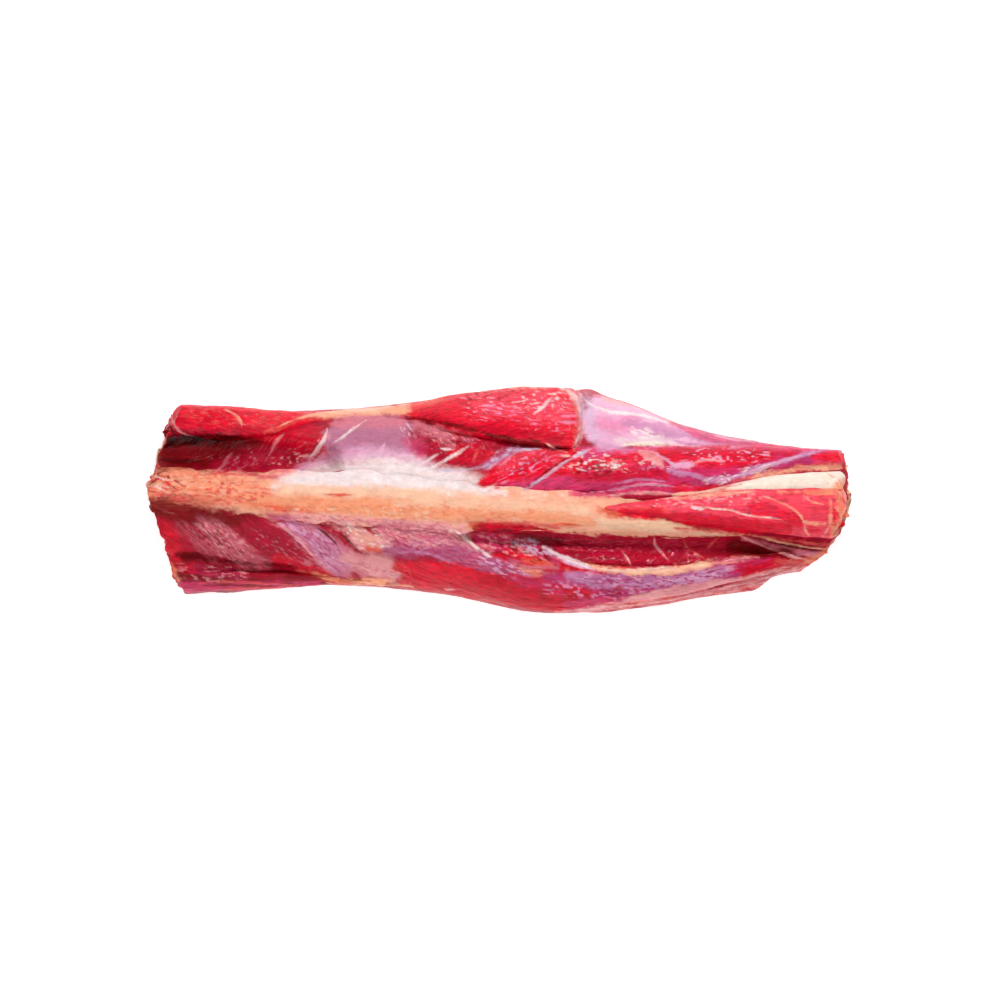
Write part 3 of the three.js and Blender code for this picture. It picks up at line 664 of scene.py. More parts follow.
# The near side: the long muscle on the near flank, with a strip at the broad end and a wide flap
# that hangs over a deep pocket. It is red meat under grey-pink and lilac films, held by sinew.
NEAR_STROKES = [
    # the broad end, below the crest
    stroke("red", (-205, -14, 3), (-198, -22, 7), (-192, -32, 6), (-186, -40, 4), soft=5),
    stroke("bright_red", (-201, -28, 4), (-194, -36, 3), soft=5, strength=0.6),
    # painted shade: deep red below the crest at the broad end
    stroke("deep_red", (-208, -4, 5), (-190, -8, 6), (-174, -11, 5), (-150, -12, 4), soft=5),
    strand("pale_pink", 0.8, (-206, -4), (-200, -6), (-194, -8)),
    stroke("wine", (-186, -22, 6), (-174, -33, 6), soft=6, strength=0.8),
    stroke("grey_pink", (-192, -15, 2), (-186, -19, 3), (-178, -27, 4), (-170, -33, 3), soft=5, strength=0.5, streak=0.5),
    stroke("grey_pink", (-178, -14, 3), (-170, -20, 7), (-160, -28, 8), (-149, -35, 6), (-138, -38, 2), soft=7, strength=0.75, streak=0.35),
    flecks_and_glints("pale_pink", (-178, -14, 4), (-170, -20, 7), (-160, -28, 8), (-148, -36, 5), sparse=0.3, strength=0.55),
    flecks_and_glints("deep_red", (-184, -14, 5), (-172, -24, 8), (-158, -34, 6), sparse=0.3, strength=0.7),
    stroke("deep_red", (-164, -9, 2), (-154, -15, 3), (-144, -22, 4), (-134, -28, 5), soft=5),
    stroke("wine", (-150, -16, 4), (-136, -27, 7), (-122, -34, 7), (-108, -37, 5), soft=6),
    stroke("red", (-132, -36, 4), (-116, -41, 4), (-100, -46, 4), soft=5),
    flecks_and_glints("grey_pink", (-146, -22, 5), (-130, -30, 6), (-116, -36, 4), sparse=0.45, strength=0.6),
    # the second film patch, its edge line and the folds after it
    stroke("grey_pink", (-136, -9, 2), (-122, -16, 6), (-108, -26, 9), (-97, -36, 9), (-90, -42, 4), soft=5),
    stroke("lilac", (-130, -12, 2), (-116, -20, 4), (-104, -30, 7), (-96, -38, 6), soft=7, strength=0.7, streak=0.3),
    flecks_and_glints("pale_lilac", (-126, -14, 3), (-112, -24, 8), (-98, -35, 8), sparse=0.2, strength=0.65),
    flecks_and_glints("magenta", (-128, -14, 3), (-112, -24, 8), (-97, -36, 8), sparse=0.3, strength=0.6, rise=-0.3),
    strand("pale_pink", 0.7, (-142, -8), (-132, -14), (-122, -22), (-112, -33), (-106, -40)),
    # painted shade: dark red strands sunk into the folds
    strand("dark_red", 0.8, (-112, -16), (-106, -19), (-100, -24), (-95, -30), rise=-0.7),
    strand("dark_red", 0.9, (-96, -19), (-90, -25), (-84, -31), (-78, -34), rise=-0.7),
    stroke("pale_pink", (-116, -9, 2), (-104, -12, 3), (-92, -13, 3), soft=4, strength=0.8, streak=0.4),
    stroke("pale_pink", (-92, -16, 2), (-84, -21, 5), (-76, -26, 5), (-68, -24, 5), soft=5, streak=0.25, rise=0.5),
    stroke("peach", (-88, -18, 2), (-80, -23, 3), (-74, -24, 2), soft=5, strength=0.7, streak=0.4),
    flecks_and_glints("ivory", (-92, -16, 3), (-80, -22, 6), (-68, -24, 5), sparse=0.3),
    strand("pale_pink", 0.9, (-92, -14), (-84, -18), (-76, -22), (-70, -29)),
    stroke("red_orange", (-79, -29, 1.4), (-73, -30, 1.6), soft=2.4, strength=0.9),
    stroke("pale_pink", (-92, -34, 3), (-80, -39, 6), (-70, -40, 7), (-63, -44, 5), soft=7, strength=0.9),
    flecks_and_glints("grey_pink", (-90, -38, 4), (-76, -44, 5), (-66, -46, 3), sparse=0.1, strength=0.7),
    # wrinkled film below the crest
    stroke("grey_pink", (-72, -15, 3), (-56, -20, 7), (-40, -22, 7), (-24, -22, 5), soft=5),
    stroke("lilac", (-66, -30, 3), (-50, -29, 4), (-34, -30, 5), (-18, -34, 6), (-4, -38, 4), soft=6, strength=0.5),
    flecks_and_glints("pale_pink", (-74, -14, 3), (-56, -20, 7), (-36, -22, 7), (-22, -22, 4), sparse=0.0, strength=0.8, rise=0.4),
    flecks_and_glints("rose", (-72, -18, 4), (-54, -24, 7), (-32, -26, 6), sparse=0.3, strength=0.6, rise=-0.4),
    flecks_and_glints("magenta", (-60, -30, 4), (-30, -32, 6), (-4, -40, 5), sparse=0.15, strength=0.6, rise=-0.3),
    strand("lilac", 0.8, (-66, -32), (-52, -31), (-40, -33), (-28, -38), (-14, -42)),
    stroke("bright_red", (-60, -40, 3), (-50, -42, 6), (-34, -43, 7), (-18, -46, 5), soft=3),
    stroke("red", (-58, -49, 4), (-30, -53, 6), (-6, -56, 6), (14, -59, 5), soft=4),
    flecks_and_glints("salmon", (-60, -40, 3), (-56, -46, 4), (-60, -51, 2), sparse=0.1, strength=0.7),
    strand("pale_pink", 0.7, (-34, -53), (-30, -54), (-25, -54)),
    # stripes along the lower edge
    stroke("salmon", (-120, -42, 1), (-106, -46, 2), (-90, -50, 2), (-72, -51, 2), soft=2.4, streak=0.6, rise=0.4),
    stroke("orange", (-112, -44, 0.8), (-98, -48, 1.2), (-80, -49, 1.2), (-66, -48, 1.4), soft=2, streak=0.5),
    strand("peach", 0.8, (-110, -48), (-96, -51), (-78, -51), (-60, -51), (-50, -53)),
    stroke("salmon", (-60, -55, 1), (-40, -58, 1.2), (-20, -60, 1.2), (4, -63, 1.4), soft=2, streak=0.5),
    # the red strip and shadow under the crest, and the bright strand
    stroke("wine", (-14, -16, 2.4), (0, -18.5, 3.6), (20, -24, 6), (60, -30, 9), (120, -31, 9), (170, -28, 5), soft=2.5),
    stroke("red_orange", (-18, -14.4, 0.8), (-8, -14.6, 1.4), (4, -14.6, 1.2), soft=2.4, strength=0.8),
    stroke("red", (-12, -15, 1.6), (4, -15.6, 1.8), (20, -17, 1.4), (32, -19, 0.8), soft=2),
    stroke("dark_red", (-4, -19, 1), (12, -21, 1.6), (26, -23, 1.6), (40, -24, 0.8), soft=3, strength=0.7),
    flecks_and_glints("rose", (30, -24, 4), (70, -28, 6), (120, -28, 6), sparse=0.5, strength=0.6),
    stroke("white_film_and_highlight", (-27, -17, 0.6), (-21, -22.6, 1.1), (-14, -28, 1.1), (-6, -34, 0.5), soft=1.8, strength=0.9, rise=0.8),
    strand("pale_pink", 0.9, (-36, -14), (-29, -18), (-22, -25), (-15, -31)),
    flecks_and_glints("ivory", (-28, -16, 1.4), (-20, -23, 1.4), (-12, -29, 1.4), sparse=0.1, strength=0.7),
    strand("pale_pink", 0.7, (92, -20), (93, -27), (97, -32), (101, -37), rise=0.5),
    strand("pale_pink", 0.6, (73, -31), (76, -35), (78, -39), rise=0.5),
    strand("salmon", 0.8, (109, -22), (113, -29), (119, -33), (123, -36), rise=0.5),
    strand("salmon", 0.7, (132, -21), (128, -25), (124, -29), rise=0.4),
    # the wet rough patch, with painted highlights on its wrinkles, and the lip of the pocket
    stroke("rose", (-12, -24, 3), (4, -27, 5), (20, -31, 6), (30, -36, 5), soft=4),
    stroke("red", (2, -34, 3), (14, -36, 4), (28, -40, 4), soft=4),
    stroke("bright_red", (4, -31, 2), (16, -34, 3), (28, -37, 3), soft=3),
    stroke("red_orange", (14, -36, 1.4), (24, -37, 1.6), (31, -39, 1.2), soft=2, strength=0.9),
    # painted highlights: pale pink and blue flecks on the wrinkles of the rough patch
    flecks_and_glints("pale_pink", (-10, -24, 3), (2, -27, 4), (16, -30, 4), sparse=0.1),
    flecks_and_glints("blue_film_and_highlight", (8, -25, 2), (18, -28, 3.4), (28, -31, 3), sparse=-0.15),
    flecks_and_glints("deep_red", (0, -28, 4), (16, -30, 5), (28, -35, 4), sparse=0.3, rise=-0.4),
    stroke("purple", (-8, -38, 3), (2, -40, 4), (12, -43, 3), soft=4, strength=0.6),
    flecks_and_glints("pale_lilac", (-10, -36, 3), (2, -41, 5), (14, -46, 4), sparse=0.15),
    stroke("peach", (12, -41, 0.8), (22, -43, 1.4), (32, -44, 1), soft=2.4, strength=0.8, streak=0.5),
    stroke("grey_pink", (8, -38, 1.4), (20, -40, 1.6), (34, -40, 1.6), soft=3, streak=0.4),
    stroke("pale_lilac", (30, -31, 1), (38, -35, 1.8), (46, -38, 2), (56, -41, 1.6), soft=2, rise=0.6),
    stroke("white_film_and_highlight", (26, -28.4, 0.6), (34, -32.6, 1), (42, -36, 1), (52, -39.4, 0.7), soft=1.3, streak=0.2, rise=0.6),
    stroke("salmon", (40, -42, 1.4), (43, -45, 1.8), (46, -47, 1), soft=2.4, rise=0.5),
    # the flap: cream lip, lilac film, magenta belly and layered lower edge
    stroke("magenta", (28, -47, 4), (50, -50, 6), (80, -53, 7), (110, -50, 6), (140, -45, 4), soft=5),
    stroke("red", (-8, -49, 5), (14, -53, 7), (36, -56, 6), (54, -58, 3), soft=5),
    stroke("rose", (6, -47, 2.4), (22, -50, 3), (36, -54, 3), soft=5, strength=0.7, streak=0.3),
    stroke("lilac", (42, -46, 2.4), (62, -48, 4), (90, -48, 4.6), (114, -46, 4.2), (134, -42, 2.6), soft=4),
    stroke("purple", (46, -47, 2), (66, -46, 2.4), (90, -45, 3), (112, -43, 2.4), soft=4, strength=0.85, streak=0.2),
    stroke("pale_lilac", (96, -48, 1.4), (112, -47, 2), (126, -45, 2), soft=3, strength=0.7, streak=0.4),
    flecks_and_glints("pale_lilac", (48, -46, 3), (80, -48, 5), (110, -47, 5), (136, -42, 4), sparse=0.3, strength=0.6, rise=0.35),
    flecks_and_glints("magenta", (60, -48, 4), (96, -48, 5), (130, -44, 4), sparse=0.25, rise=-0.3),
    flecks_and_glints("pink_film_and_highlight", (30, -52, 4), (56, -55, 5), (84, -56, 4), sparse=0.3, strength=0.8),
    flecks_and_glints("wine", (40, -54, 4), (70, -56, 4), (110, -54, 3), sparse=0.3, strength=0.8),
    stroke("peach", (52, -39, 0.8), (64, -42, 1.2), (84, -43.6, 1.9), (106, -41.6, 1.8), (130, -37.6, 1.3), (156, -32, 0.6), soft=3, streak=0.2, rise=0.6),
    stroke("cream", (62, -41, 0.8), (84, -42.6, 1.2), (106, -40.8, 1.1), (130, -37, 0.6), soft=3, strength=0.8),
    strand("ivory", 0.9, (50, -38), (60, -41), (72, -42), (90, -41), (112, -38), strength=0.6),
    # painted shade in a crease of the flap
    strand("dark_red", 0.7, (60, -57), (76, -56.5), (92, -55.5), (104, -53), (116, -50), rise=-0.5),
    stroke("rose", (40, -62, 2), (76, -61, 2.4), (104, -57, 2), (124, -52, 1.4), soft=3, strength=0.8),
    stroke("pale_pink", (34, -67.5, 0.8), (60, -65, 2), (90, -58.4, 4), (125, -52.6, 4.6), (160, -47, 3.6), (184, -41, 2), soft=2, streak=0.3, rise=0.3),
    strand("salmon", 0.8, (50, -62), (76, -62), (104, -58), (134, -51), (164, -43), rise=-0.5),
    strand("grey_pink", 0.8, (60, -65), (90, -63), (120, -57), (150, -50), (176, -43), rise=-0.4),
    strand("wine", 0.7, (90, -61), (112, -57), (140, -50), (166, -44), (184, -39), rise=-0.6),
    strand("pale_pink", 0.7, (84, -59.6), (106, -56), (132, -50), (160, -43), (182, -38), strength=0.6),
    flecks_and_glints("salmon", (70, -66, 2), (110, -61, 2.4), (150, -52, 2), (176, -46, 2), sparse=0.2, strength=0.7),
    # the sheets that gather at the narrow end
    stroke("magenta", (130, -38, 2), (146, -37, 3), (160, -35, 2), soft=5, strength=0.7, streak=0.3),
    stroke("deep_red", (140, -27, 3), (160, -31, 3.6), (182, -33, 2.6), soft=3.5),
    stroke("wine", (150, -25, 2), (176, -28, 3), (200, -28, 3), soft=4),
    stroke("grey_pink", (146, -23, 0.8), (162, -27, 1.6), (180, -31, 1.6), (194, -32, 1), soft=1.8, streak=0.3, rise=0.6),
    strand("pale_pink", 0.9, (141, -20), (152, -25), (164, -30), (180, -35), (192, -36), rise=0.6),
    strand("peach", 0.8, (146, -20), (160, -23), (176, -27), (192, -29), (200, -29), rise=0.6),
    strand("salmon", 0.8, (160, -22), (176, -24.5), (190, -26), (202, -26), rise=0.5),
    # painted shade between the raised sheets
    strand("dark_red", 0.7, (150, -22.6), (166, -26), (182, -29), (196, -30.6), rise=-0.6),
    stroke("salmon", (166, -37, 1), (180, -38, 2.4), (192, -37, 3), soft=2.6, strength=0.9, streak=0.4),
    stroke("rough_fat", (184, -38, 2), (194, -34, 3), (201, -27, 3), soft=3, strength=0.8, streak=0.4),
    # the strip along the lower edge of the broad end
    # painted shade in the groove along the lower edge
    stroke("dark_red", (-198, -34, 0.8), (-188, -34, 2), (-174, -36, 1.6), (-156, -38, 1), (-136, -40, 0.7), (-122, -41, 0.4), soft=3.4, strength=0.85, rise=-0.8),
    stroke("rose", (-186, -42, 2), (-170, -44, 3), (-152, -45, 2), soft=5, strength=0.5),
    stroke("wine", (-152, -44, 3), (-130, -46, 4), (-110, -48, 3), soft=5, strength=0.6),
    flecks_and_glints("pale_pink", (-190, -42, 3), (-172, -44, 4), (-150, -45, 3), sparse=0.35, strength=0.55, rise=0.4),
    stroke("rough_fat", (-200, -37, 1.6), (-196, -42, 2.6), (-193, -48, 2), soft=3, strength=0.9, streak=0.3),
    stroke("rose", (-192, -53, 4), (-150, -52, 3), (-110, -51, 2), soft=3, strength=0.8),
    strand("salmon", 0.8, (-184, -50), (-164, -49), (-144, -50), (-120, -51), rise=0.4),
    strand("salmon", 0.7, (-172, -54), (-150, -53), (-128, -53), (-104, -53), rise=0.4),
    # painted shade between the raised stripes
    strand("deep_red", 0.8, (-188, -52), (-166, -51), (-140, -51.6), (-112, -52), rise=-0.4),
]
near_loin = half_loin("near_loin", -1, NEAR_STROKES, 4, [-0.9, -1.1, -0.9, -0.8, -0.6, -0.3, 0, 0.1, 0, 0])
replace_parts(near_loin, "meat")
NEAR_MUSCLES = {
    "near_flap": {
        "span": (-34, 197), "domes": (16, 8), "lean": -0.12, "base": "red", "edge": 1.35, "turn": -0.1,
        "y": [-42, -48, -53, -50, -44, -37], "half_width": [14, 22, 20, 18, 15, 7],
        "half_depth": [3, 7, 8, 8, 6, 3], "lift": [-5, -2, -1, -1, -1, -2],
    },
    "near_strip": {
        "span": (-202, -92), "domes": (3, 12), "lean": 0.02, "base": "deep_red", "edge": 1.2,
        "y": [-49, -49, -48, -48], "half_width": [12, 11, 9, 4], "half_depth": [6, 5, 4, 2], "lift": [0, 0, -1, -2],
    },
}
for seed, (name, layer) in enumerate(NEAR_MUSCLES.items()):
    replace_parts(laid_piece(name, layer, NEAR_STROKES, MUSCLE, seed=40 + 10 * seed), "meat")

# The crest: a strip of cream and orange back fat over the spines of the backbone. At the narrow
# end the end muscle lies over it, beside an ivory tendon. All of it grows together with the meat.
CREST_STROKES = [
    stroke("rough_fat", (-208, 8, 10), (-185, 7, 11), (-165, 6, 9), (-145, 3, 6), soft=8, strength=0.9),
    stroke("orange", (-200, 10, 3), (-176, 10, 4), (-150, 9, 4), (-130, 8, 3), soft=5, strength=0.8, streak=0.4),
    stroke("orange", (-150, -1, 4), (-110, -3, 5), (-60, -6, 5), (0, -8, 4), (40, -11, 3), soft=5),
    stroke("cream", (-60, -1, 2.4), (-20, -2, 3), (20, -4, 3), (50, -6, 3), soft=4, strength=0.8),
    # the white film over the crest, partly a painted sheen of light
    stroke("white_film_and_highlight", (-134, 8, 1), (-108, 12, 4), (-70, 12, 5), (-30, 9, 4), (2, 5, 1), soft=8),
    stroke("cream", (-130, 5, 2), (-90, 5, 3), (-40, 3, 3), soft=6, strength=0.9),
    # painted shade: deep red and wine on the lower side of the fat at the broad end
    stroke("deep_red", (-208, -2, 4), (-190, -5, 4.4), (-175, -9, 4), (-162, -12, 3), soft=5, strength=0.9),
    stroke("wine", (-206, 3, 1.6), (-188, 1, 2), (-172, -4, 2), (-160, -9, 2), soft=5, strength=0.6, streak=0.3),
    stroke("wine", (-158, -10, 2), (-142, -11, 2.4), (-128, -13, 2), soft=4, strength=0.8, streak=0.3),
    flecks_and_glints("salmon", (-206, 8, 7), (-186, 7, 8), (-160, 5, 7), (-140, 3, 5), sparse=0.1, strength=0.8, rise=0.5),
    flecks_and_glints("peach", (-206, 9, 6), (-180, 9, 7), (-150, 8, 6), sparse=0.1, strength=0.8, rise=0.5),
    flecks_and_glints("deep_red", (-206, 10, 4), (-200, 13, 3), (-194, 10, 3), sparse=0.1, strength=0.8, rise=-0.5),
    stroke("bright_red", (-204, 13, 1.2), (-200, 12, 1.4), (-197, 9, 0.8), soft=2, streak=0.4),
    flecks_and_glints("white_film_and_highlight", (-202, 10, 3), (-196, 8, 3), sparse=0.25),
    strand("salmon", 0.8, (-182, 15), (-168, 15), (-150, 15), (-134, 13)),
    stroke("red_orange", (-150, -2, 1), (-138, -4, 2), (-124, -6, 1.6), (-108, -7, 1), soft=3, strength=0.8, streak=0.4),
    strand("red_orange", 1.0, (-104, 3), (-96, 3), (-88, 3)),
    stroke("orange", (-86, 0, 0.8), (-70, 0, 1), (-52, -1, 0.8), soft=2, strength=0.8, streak=0.4),
    flecks_and_glints("cream", (-120, -6, 3), (-80, -8, 4), (-40, -9, 4), sparse=0.3, strength=0.8),
    flecks_and_glints("rough_fat", (-120, -4, 4), (-70, -6, 5), (-20, -8, 5), (30, -10, 4), sparse=0.3, strength=0.7),
    stroke("pale_pink", (-122, -9, 1.2), (-100, -11, 2), (-70, -13, 2), (-40, -15, 2), (-22, -16, 1.4), soft=3, strength=0.9, streak=0.5, rise=0.4),
    flecks_and_glints("grey_pink", (-120, -10, 3), (-80, -13, 3), (-36, -16, 3), sparse=0.1, strength=0.8),
    stroke("salmon", (-8, -13, 1), (12, -14, 1.4), (34, -16, 1), soft=2, strength=0.8, streak=0.3),
    stroke("orange", (20, -8, 1.4), (38, -11, 2.4), (54, -13, 2), (64, -14, 1.4), soft=4, strength=0.9, streak=0.3),
    strand("red_orange", 1.1, (30, -14), (40, -15), (50, -15)),
    stroke("red_orange", (58, -5, 1), (66, -8, 1.8), (74, -9, 1.4), soft=3, strength=0.8),
    stroke("cream", (60, -14, 3), (84, -15.4, 3.4), (106, -17, 3), (134, -20.4, 1.4), soft=2.5),
    stroke("salmon", (104, -17, 0.8), (130, -19, 1), (160, -21, 0.8), soft=2, streak=0.4),
    # the end muscle and its marbling
    stroke("red_orange", (64, -8, 1.6), (80, -7, 2), (96, -7, 2), soft=4, strength=0.8),
    stroke("bright_red", (72, -7.4, 1.8), (100, -9.4, 3), (135, -14.4, 4.6), (170, -18, 4), soft=2.5),
    stroke("red", (112, -14.6, 1), (130, -17.4, 1.6), (156, -21, 2), soft=3, strength=0.8),
    stroke("pink_red", (110, -1, 3), (140, -2, 4), (170, 0, 4), soft=5, strength=0.7),
    stroke("bright_red", (150, -5, 3), (166, -8, 4), (178, -14, 3), soft=4, strength=0.8),
    flecks_and_glints("pale_pink", (92, -1, 2), (112, 1, 3), (140, 2, 3), (158, 1, 2), sparse=0.15, strength=0.8),
    flecks_and_glints("rose", (110, -4, 4), (140, -7, 5), (170, -8, 4), sparse=0.35, strength=0.6),
    strand("ivory", 0.5, (118, -4), (127, -5), (137, -6), (147, -9), (164, -11), (171, -14)),
    stroke("white_film_and_highlight", (114, -4, 0.4), (118, -5, 0.9), (122, -5, 0.4), soft=1.2, strength=0.8),
    strand("peach", 0.7, (152, 2), (160, 1), (168, -2), (175, -6), (180, -11), (182, -18)),
    strand("peach", 0.5, (181, 3), (186, -1), (193, -3)),
    stroke("peach", (181, -13, 0.5), (188, -14, 0.8), (194, -14, 0.5), soft=1.2, streak=0.2),
    strand("peach", 0.7, (182, -14), (182, -18), (186, -22)),
    stroke("pink_red", (184, -4, 2), (190, -9, 3), (192, -12, 2), soft=3, strength=0.5),
    stroke("bright_red", (185, -18, 2), (190, -18, 2.4), soft=2.4, strength=0.8),
    stroke("peach", (197, 1, 0.4), (197.5, -8, 0.8), (196, -16, 0.8), (193, -22, 0.4), soft=2, strength=0.8, streak=0.3),
    stroke("rough_fat", (201, 6, 2), (203, -6, 2.4), (200, -20, 2.6), soft=3, strength=0.9, streak=0.3),
    flecks_and_glints("peach", (201, 10, 3), (204, 0, 3), (202, -14, 3), sparse=0.05),
    stroke("bright_red", (198, -6, 1.4), (201, -10, 2), (200, -14, 1.4), soft=2, streak=0.3),
    strand("peach", 1.2, (92, 2), (108, 1), (124, 3), (140, 4), (158, 5)),
    stroke("orange", (166, 5, 0.8), (182, 5, 1.4), (196, 5, 2), soft=2.4, strength=0.9, streak=0.4),
]
FAT = moist_flesh("moist_fat", 1.6, 0.5, 0.4, 0.16)
BACK_FAT = {
    "span": (-207.5, 204), "domes": (2.5, 3.5), "lean": 0.0, "base": "peach", "edge": 2.3, "waver": 1.0,
    "y": [6, 4, 2, 0, -4, -5, -10, -14, -14, -12], "half_width": [13, 14, 15, 16, 15, 14, 13, 10, 7, 6],
    "half_depth": [7, 6, 5, 5, 5, 5, 5, 4, 4, 4], "lift": [-2, -2, -1, -1, -1, -1, -2, -2, -6, -8],
}
ALL_STROKES = FAR_STROKES + NEAR_STROKES + CREST_STROKES
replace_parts(laid_piece("back_fat_strip", BACK_FAT, ALL_STROKES, FAT, depth=0.5, seed=70), "back_fat")
TENDON = {
    "span": (118, 203), "domes": (16, 3), "lean": 0.0, "base": "ivory", "edge": 1.3,
    "y": [3, 6, 9, 10, 10], "half_width": [2.4, 3.6, 5.4, 6.6, 7.4], "half_depth": [1.6, 2.6, 3.8, 5, 6], "lift": [0, 0, 0, 0, 1],
}
TENDON_STROKES = [
    stroke("peach", (100, 2, 4), (124, 3, 3), (140, 5, 2), soft=4, strength=0.9),
    stroke("salmon", (110, 5, 0.8), (128, 7, 1), (146, 9, 0.8), soft=2, strength=0.8, streak=0.4),
    stroke("cream", (160, 4, 1), (180, 3, 1.6), (198, 4, 2), soft=3, strength=0.9),
    stroke("orange", (186, 3, 1.4), (198, 5, 2.6), (206, 10, 4), soft=3, strength=0.9, streak=0.3),
    flecks_and_glints("rough_fat", (196, 12, 3), (203, 6, 4), sparse=0.1),
]
laid_piece("tendon", TENDON, TENDON_STROKES, FAT, depth=0.25, seed=81)
END_MUSCLE = {
    "span": (68, 204), "domes": (8, 3), "lean": -0.15, "base": "pink_red", "edge": 1.3,
    "y": [-5, -5, -6, -7], "half_width": [3, 8.5, 13, 16], "half_depth": [3, 8, 10, 11], "lift": [1, 1, 0, -1],
}
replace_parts(laid_piece("end_muscle", END_MUSCLE, CREST_STROKES, MUSCLE, seed=30), "meat")

# The backbone: a bar of joined vertebrae whose sawn ends show at the two cuts, with spongy bone
# inside a dense rim and the canal for the spinal cord above the body.
BONE_LENGTH = (-208.5, 210)
BONE_RADIUS = 13
BONE_PLATE = 2.5
BONE_HEIGHT = [29, 29, 30, 31, 32, 32, 31, 29, 26, 23]
BONE_SCALE = [1, 1, 1, 1, 1, 1, 0.95, 0.85, 0.75, 0.68]
BONE_PLATES = ((-8, 31), (90, 0), (188, 31))
SPINE_COVER = 12


def bone_radius(degrees, spine):
    """The section's radius at an angle: the larger of a circle and of three flat plates, where a
    plate of half-thickness h and length l has the radius min(l / cos, h / |sin|) of the turn."""
    radius = np.full(np.broadcast(degrees, spine).shape, float(BONE_RADIUS))
    for angle, length in BONE_PLATES:
        turn = np.radians((degrees - angle + 180) % 360 - 180)
        reach = spine if length == 0 else length
        plate = np.minimum(reach / np.maximum(np.cos(turn), 1e-3), BONE_PLATE / np.maximum(np.abs(np.sin(turn)), 1e-3))
        radius = np.where(np.cos(turn) > 0, np.maximum(radius, plate), radius)
    return radius


def backbone():
    """Rings of that section from end to end, and at each end rings that shrink to the middle."""
    x = np.linspace(*BONE_LENGTH, 90)[:, None]
    t = share_at(x)
    degrees = np.arange(0, 360, 1.0)
    height, scale = along(BONE_HEIGHT, t), along(BONE_SCALE, t)
    spine = (along(CREST_HEIGHT, t) - SPINE_COVER - height) / scale
    radius = bone_radius(degrees, spine) * scale
    angle = np.radians(degrees)
    body = np.stack([
        np.broadcast_to(x, radius.shape), radius * np.cos(angle), height + radius * np.sin(angle)
    ], -1)
    steps = 22
    shrink = (1 - np.arange(1, steps + 1) / (steps + 1))[:, None, None]

    def cut(end):
        middle = np.array([x[end, 0], 0, height[end, 0]])
        return middle + (body[end] - middle) * shrink

    rings = bend_to_cut(np.concatenate([cut(0)[::-1], body, cut(-1)]))
    y, z = rings[..., 1], rings[..., 2]
    depth = np.concatenate([np.arange(steps)[::-1] + 1, np.zeros(len(body)), np.arange(steps) + 1])[:, None]
    spongy = smooth_step(1, 4, depth + 0 * y) * smooth_step(-0.2, 0.35, noise(y / 1.3, z / 1.3, 3))
    middle_height = np.concatenate([np.full(steps, height[0, 0]), height[:, 0], np.full(steps, height[-1, 0])])[:, None]
    canal = smooth_step(4.4, 3.6, np.hypot(y / 1.15, z - middle_height - 5)) * (depth > 0)
    rough = (0.6 * spongy + 1.2 * canal + 0.25 * fractal(y / 3, z / 3, 5)) * (depth > 0)
    rings = rings - outward(rings) * rough[..., None]
    colour = FINISHES["cream"][0] * (1 - spongy[..., None]) + FINISHES["salmon"][0] * spongy[..., None]
    colour = colour * (1 - canal[..., None]) + FINISHES["deep_red"][0] * canal[..., None]
    tips = np.array([rings[0].mean(0), rings[-1].mean(0)])
    return closed_piece("sawn_backbone", rings, tips, colour, np.full(y.shape, 0.8), rings * MM, FAT)


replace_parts(backbone(), "backbone")

# Ragged trimmings: crumbs of bone, fat and meat left by the saw and the knife where the loin was
# cut at both ends. They hang on the cut by their own films.
TRIMMINGS = {
    # place, how far they spread, size, count and finishes
    "crumbs_broad_end": ((-206.5, 8, 50), (0.7, 5, 2.6), 1.5, 26, ("rough_fat", "salmon", "orange")),
    "dark_lump": ((-198.5, 41, 33), (0.8, 1.6, 3), 3, 9, ("deep_red", "dark_red", "wine")),
    "crumbs_narrow_end": ((206.3, 4, 36), (0.7, 9, 2.6), 1.5, 44, ("salmon", "rough_fat", "pink_red")),
    "crumbs_near_corner": ((195, -28, 22), (1.6, 3, 2), 1.2, 16, ("salmon", "rough_fat")),
    "small_lobe": ((204.6, -13.5, 36), (0.5, 0.7, 0.7), 1.6, 4, ("bright_red",)),
}


def crumb_rings(centre, radius, stretch, seed):
    """A knobbly ball, stretched along each axis: its radius at longitude a and latitude b swells by
    noise of the two angles."""
    b = np.linspace(-math.pi / 2, math.pi / 2, 14)[1:-1, None]
    a = np.linspace(0, 2 * math.pi, 18, endpoint=False)
    swell = radius * (1 + 0.4 * fractal(np.cos(a) * 1.6 + seed, np.sin(a) * 1.6 + b * 1.4, seed % 40))
    ball = np.stack([swell * np.sin(b), swell * np.cos(b) * np.cos(a), swell * np.cos(b) * np.sin(a)], -1)
    return centre + ball * stretch


draw = np.random.default_rng(5)
for name, (place, spread, size, count, finishes) in TRIMMINGS.items():
    for k in range(count):
        centre = np.array(place) + draw.uniform(-1.5, 1.5, 3) * spread
        rings = crumb_rings(centre, size * draw.uniform(0.4, 1.2), draw.uniform(0.7, 1.7, 3), k)
        finish = finishes[k % len(finishes)]
        colour, film, _ = paint(rings[..., 1], rings[..., 2], finish, [])
        tips = np.array([rings[0].mean(0), rings[-1].mean(0)])
        slot, material = ("fat", FAT) if FINISHES[finish][1] else ("meat", MUSCLE)
        closed_piece(f"{name}_{k}", rings, tips, colour, film, rings * MM, material)

# The table top: a plain pale floor, with soft studio light from above and the far right side, and
# a long lens straight above the loin.
FRAME_WIDTH = 0.6
CAMERA_HEIGHT = 3.0
FLOOR_HALF = 4.0

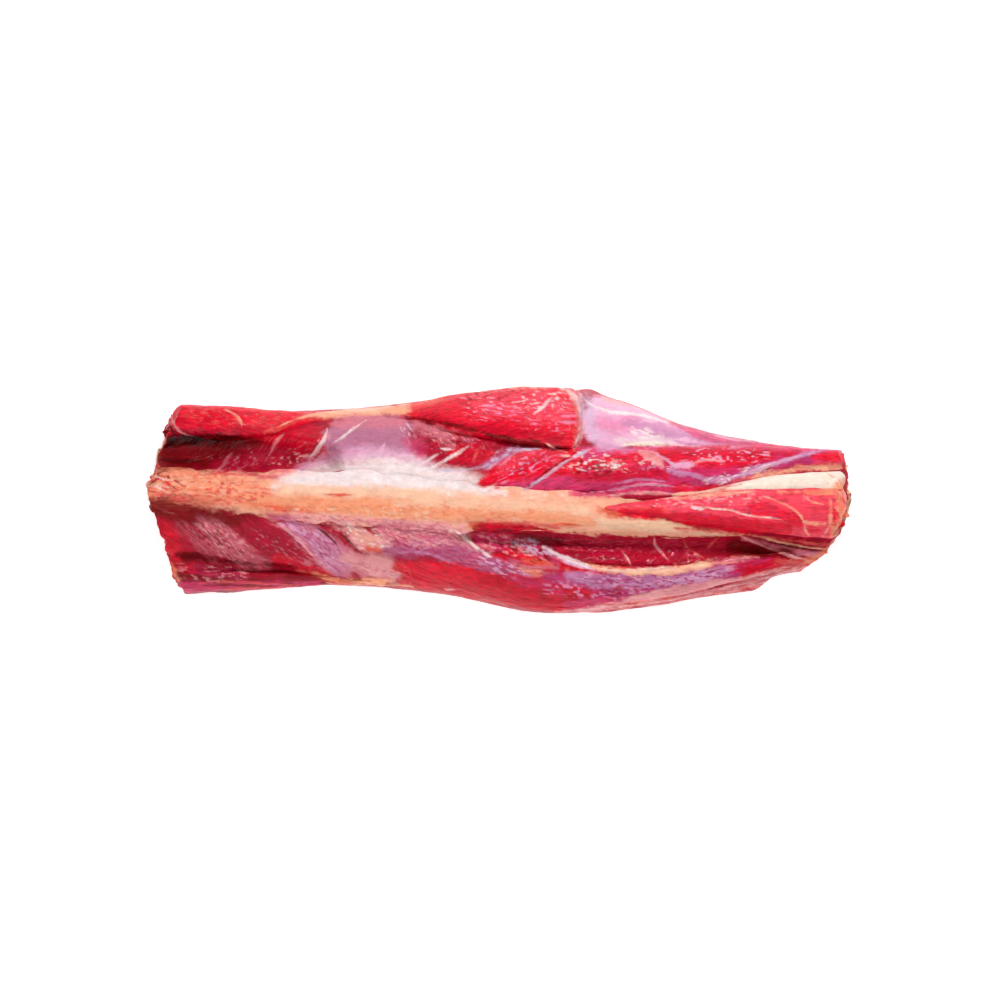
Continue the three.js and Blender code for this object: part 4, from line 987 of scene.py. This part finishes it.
floor_mesh = bpy.data.meshes.new("floor")
corners = [(-FLOOR_HALF, -FLOOR_HALF), (FLOOR_HALF, -FLOOR_HALF), (FLOOR_HALF, FLOOR_HALF), (-FLOOR_HALF, FLOOR_HALF)]
floor_mesh.from_pydata([(x, y, -0.0004) for x, y in corners], [], [(0, 1, 2, 3)])
floor = bpy.data.objects.new("floor", floor_mesh)
bpy.context.scene.collection.objects.link(floor)
pale = bpy.data.materials.new("pale_floor")
pale.use_nodes = True
pale.node_tree.nodes["Principled BSDF"].inputs["Base Color"].default_value = (0.97, 0.97, 0.97, 1)
pale.node_tree.nodes["Principled BSDF"].inputs["Roughness"].default_value = 0.9
pale.node_tree.nodes["Principled BSDF"].inputs["Emission Color"].default_value = (1, 1, 1, 1)
pale.node_tree.nodes["Principled BSDF"].inputs["Emission Strength"].default_value = 0.55
floor_mesh.materials.append(pale)


def soft_light(name, place, size, power):
    """A square area light at place that points to the middle of the loin."""
    lamp = bpy.data.lights.new(name, "AREA")
    lamp.size, lamp.energy = size, power
    light = bpy.data.objects.new(name, lamp)
    light.location = place
    light.rotation_mode = "QUATERNION"
    light.rotation_quaternion = light.location.to_track_quat("Z", "Y")
    light.visible_camera = False
    bpy.context.scene.collection.objects.link(light)


soft_light("key_light", (0.22, 0.9, 1.0), 0.25, 12.2)
soft_light("near_light", (-0.2, -0.9, 1.2), 1.4, 13.4)

world = bpy.data.worlds.new("studio")
world.use_nodes = True
world.node_tree.nodes["Background"].inputs["Color"].default_value = (1, 1, 1, 1)
world.node_tree.nodes["Background"].inputs["Strength"].default_value = 0.14
bpy.context.scene.world = world
bpy.context.scene.view_settings.view_transform = "Standard"

lens = bpy.data.cameras.new("camera")
lens.sensor_width = 36
lens.lens = 36 * (CAMERA_HEIGHT - 0.035) / FRAME_WIDTH
lens.clip_end = 20
camera = bpy.data.objects.new("camera", lens)
camera.location = (0, 0, CAMERA_HEIGHT)
bpy.context.scene.collection.objects.link(camera)
bpy.context.scene.camera = camera
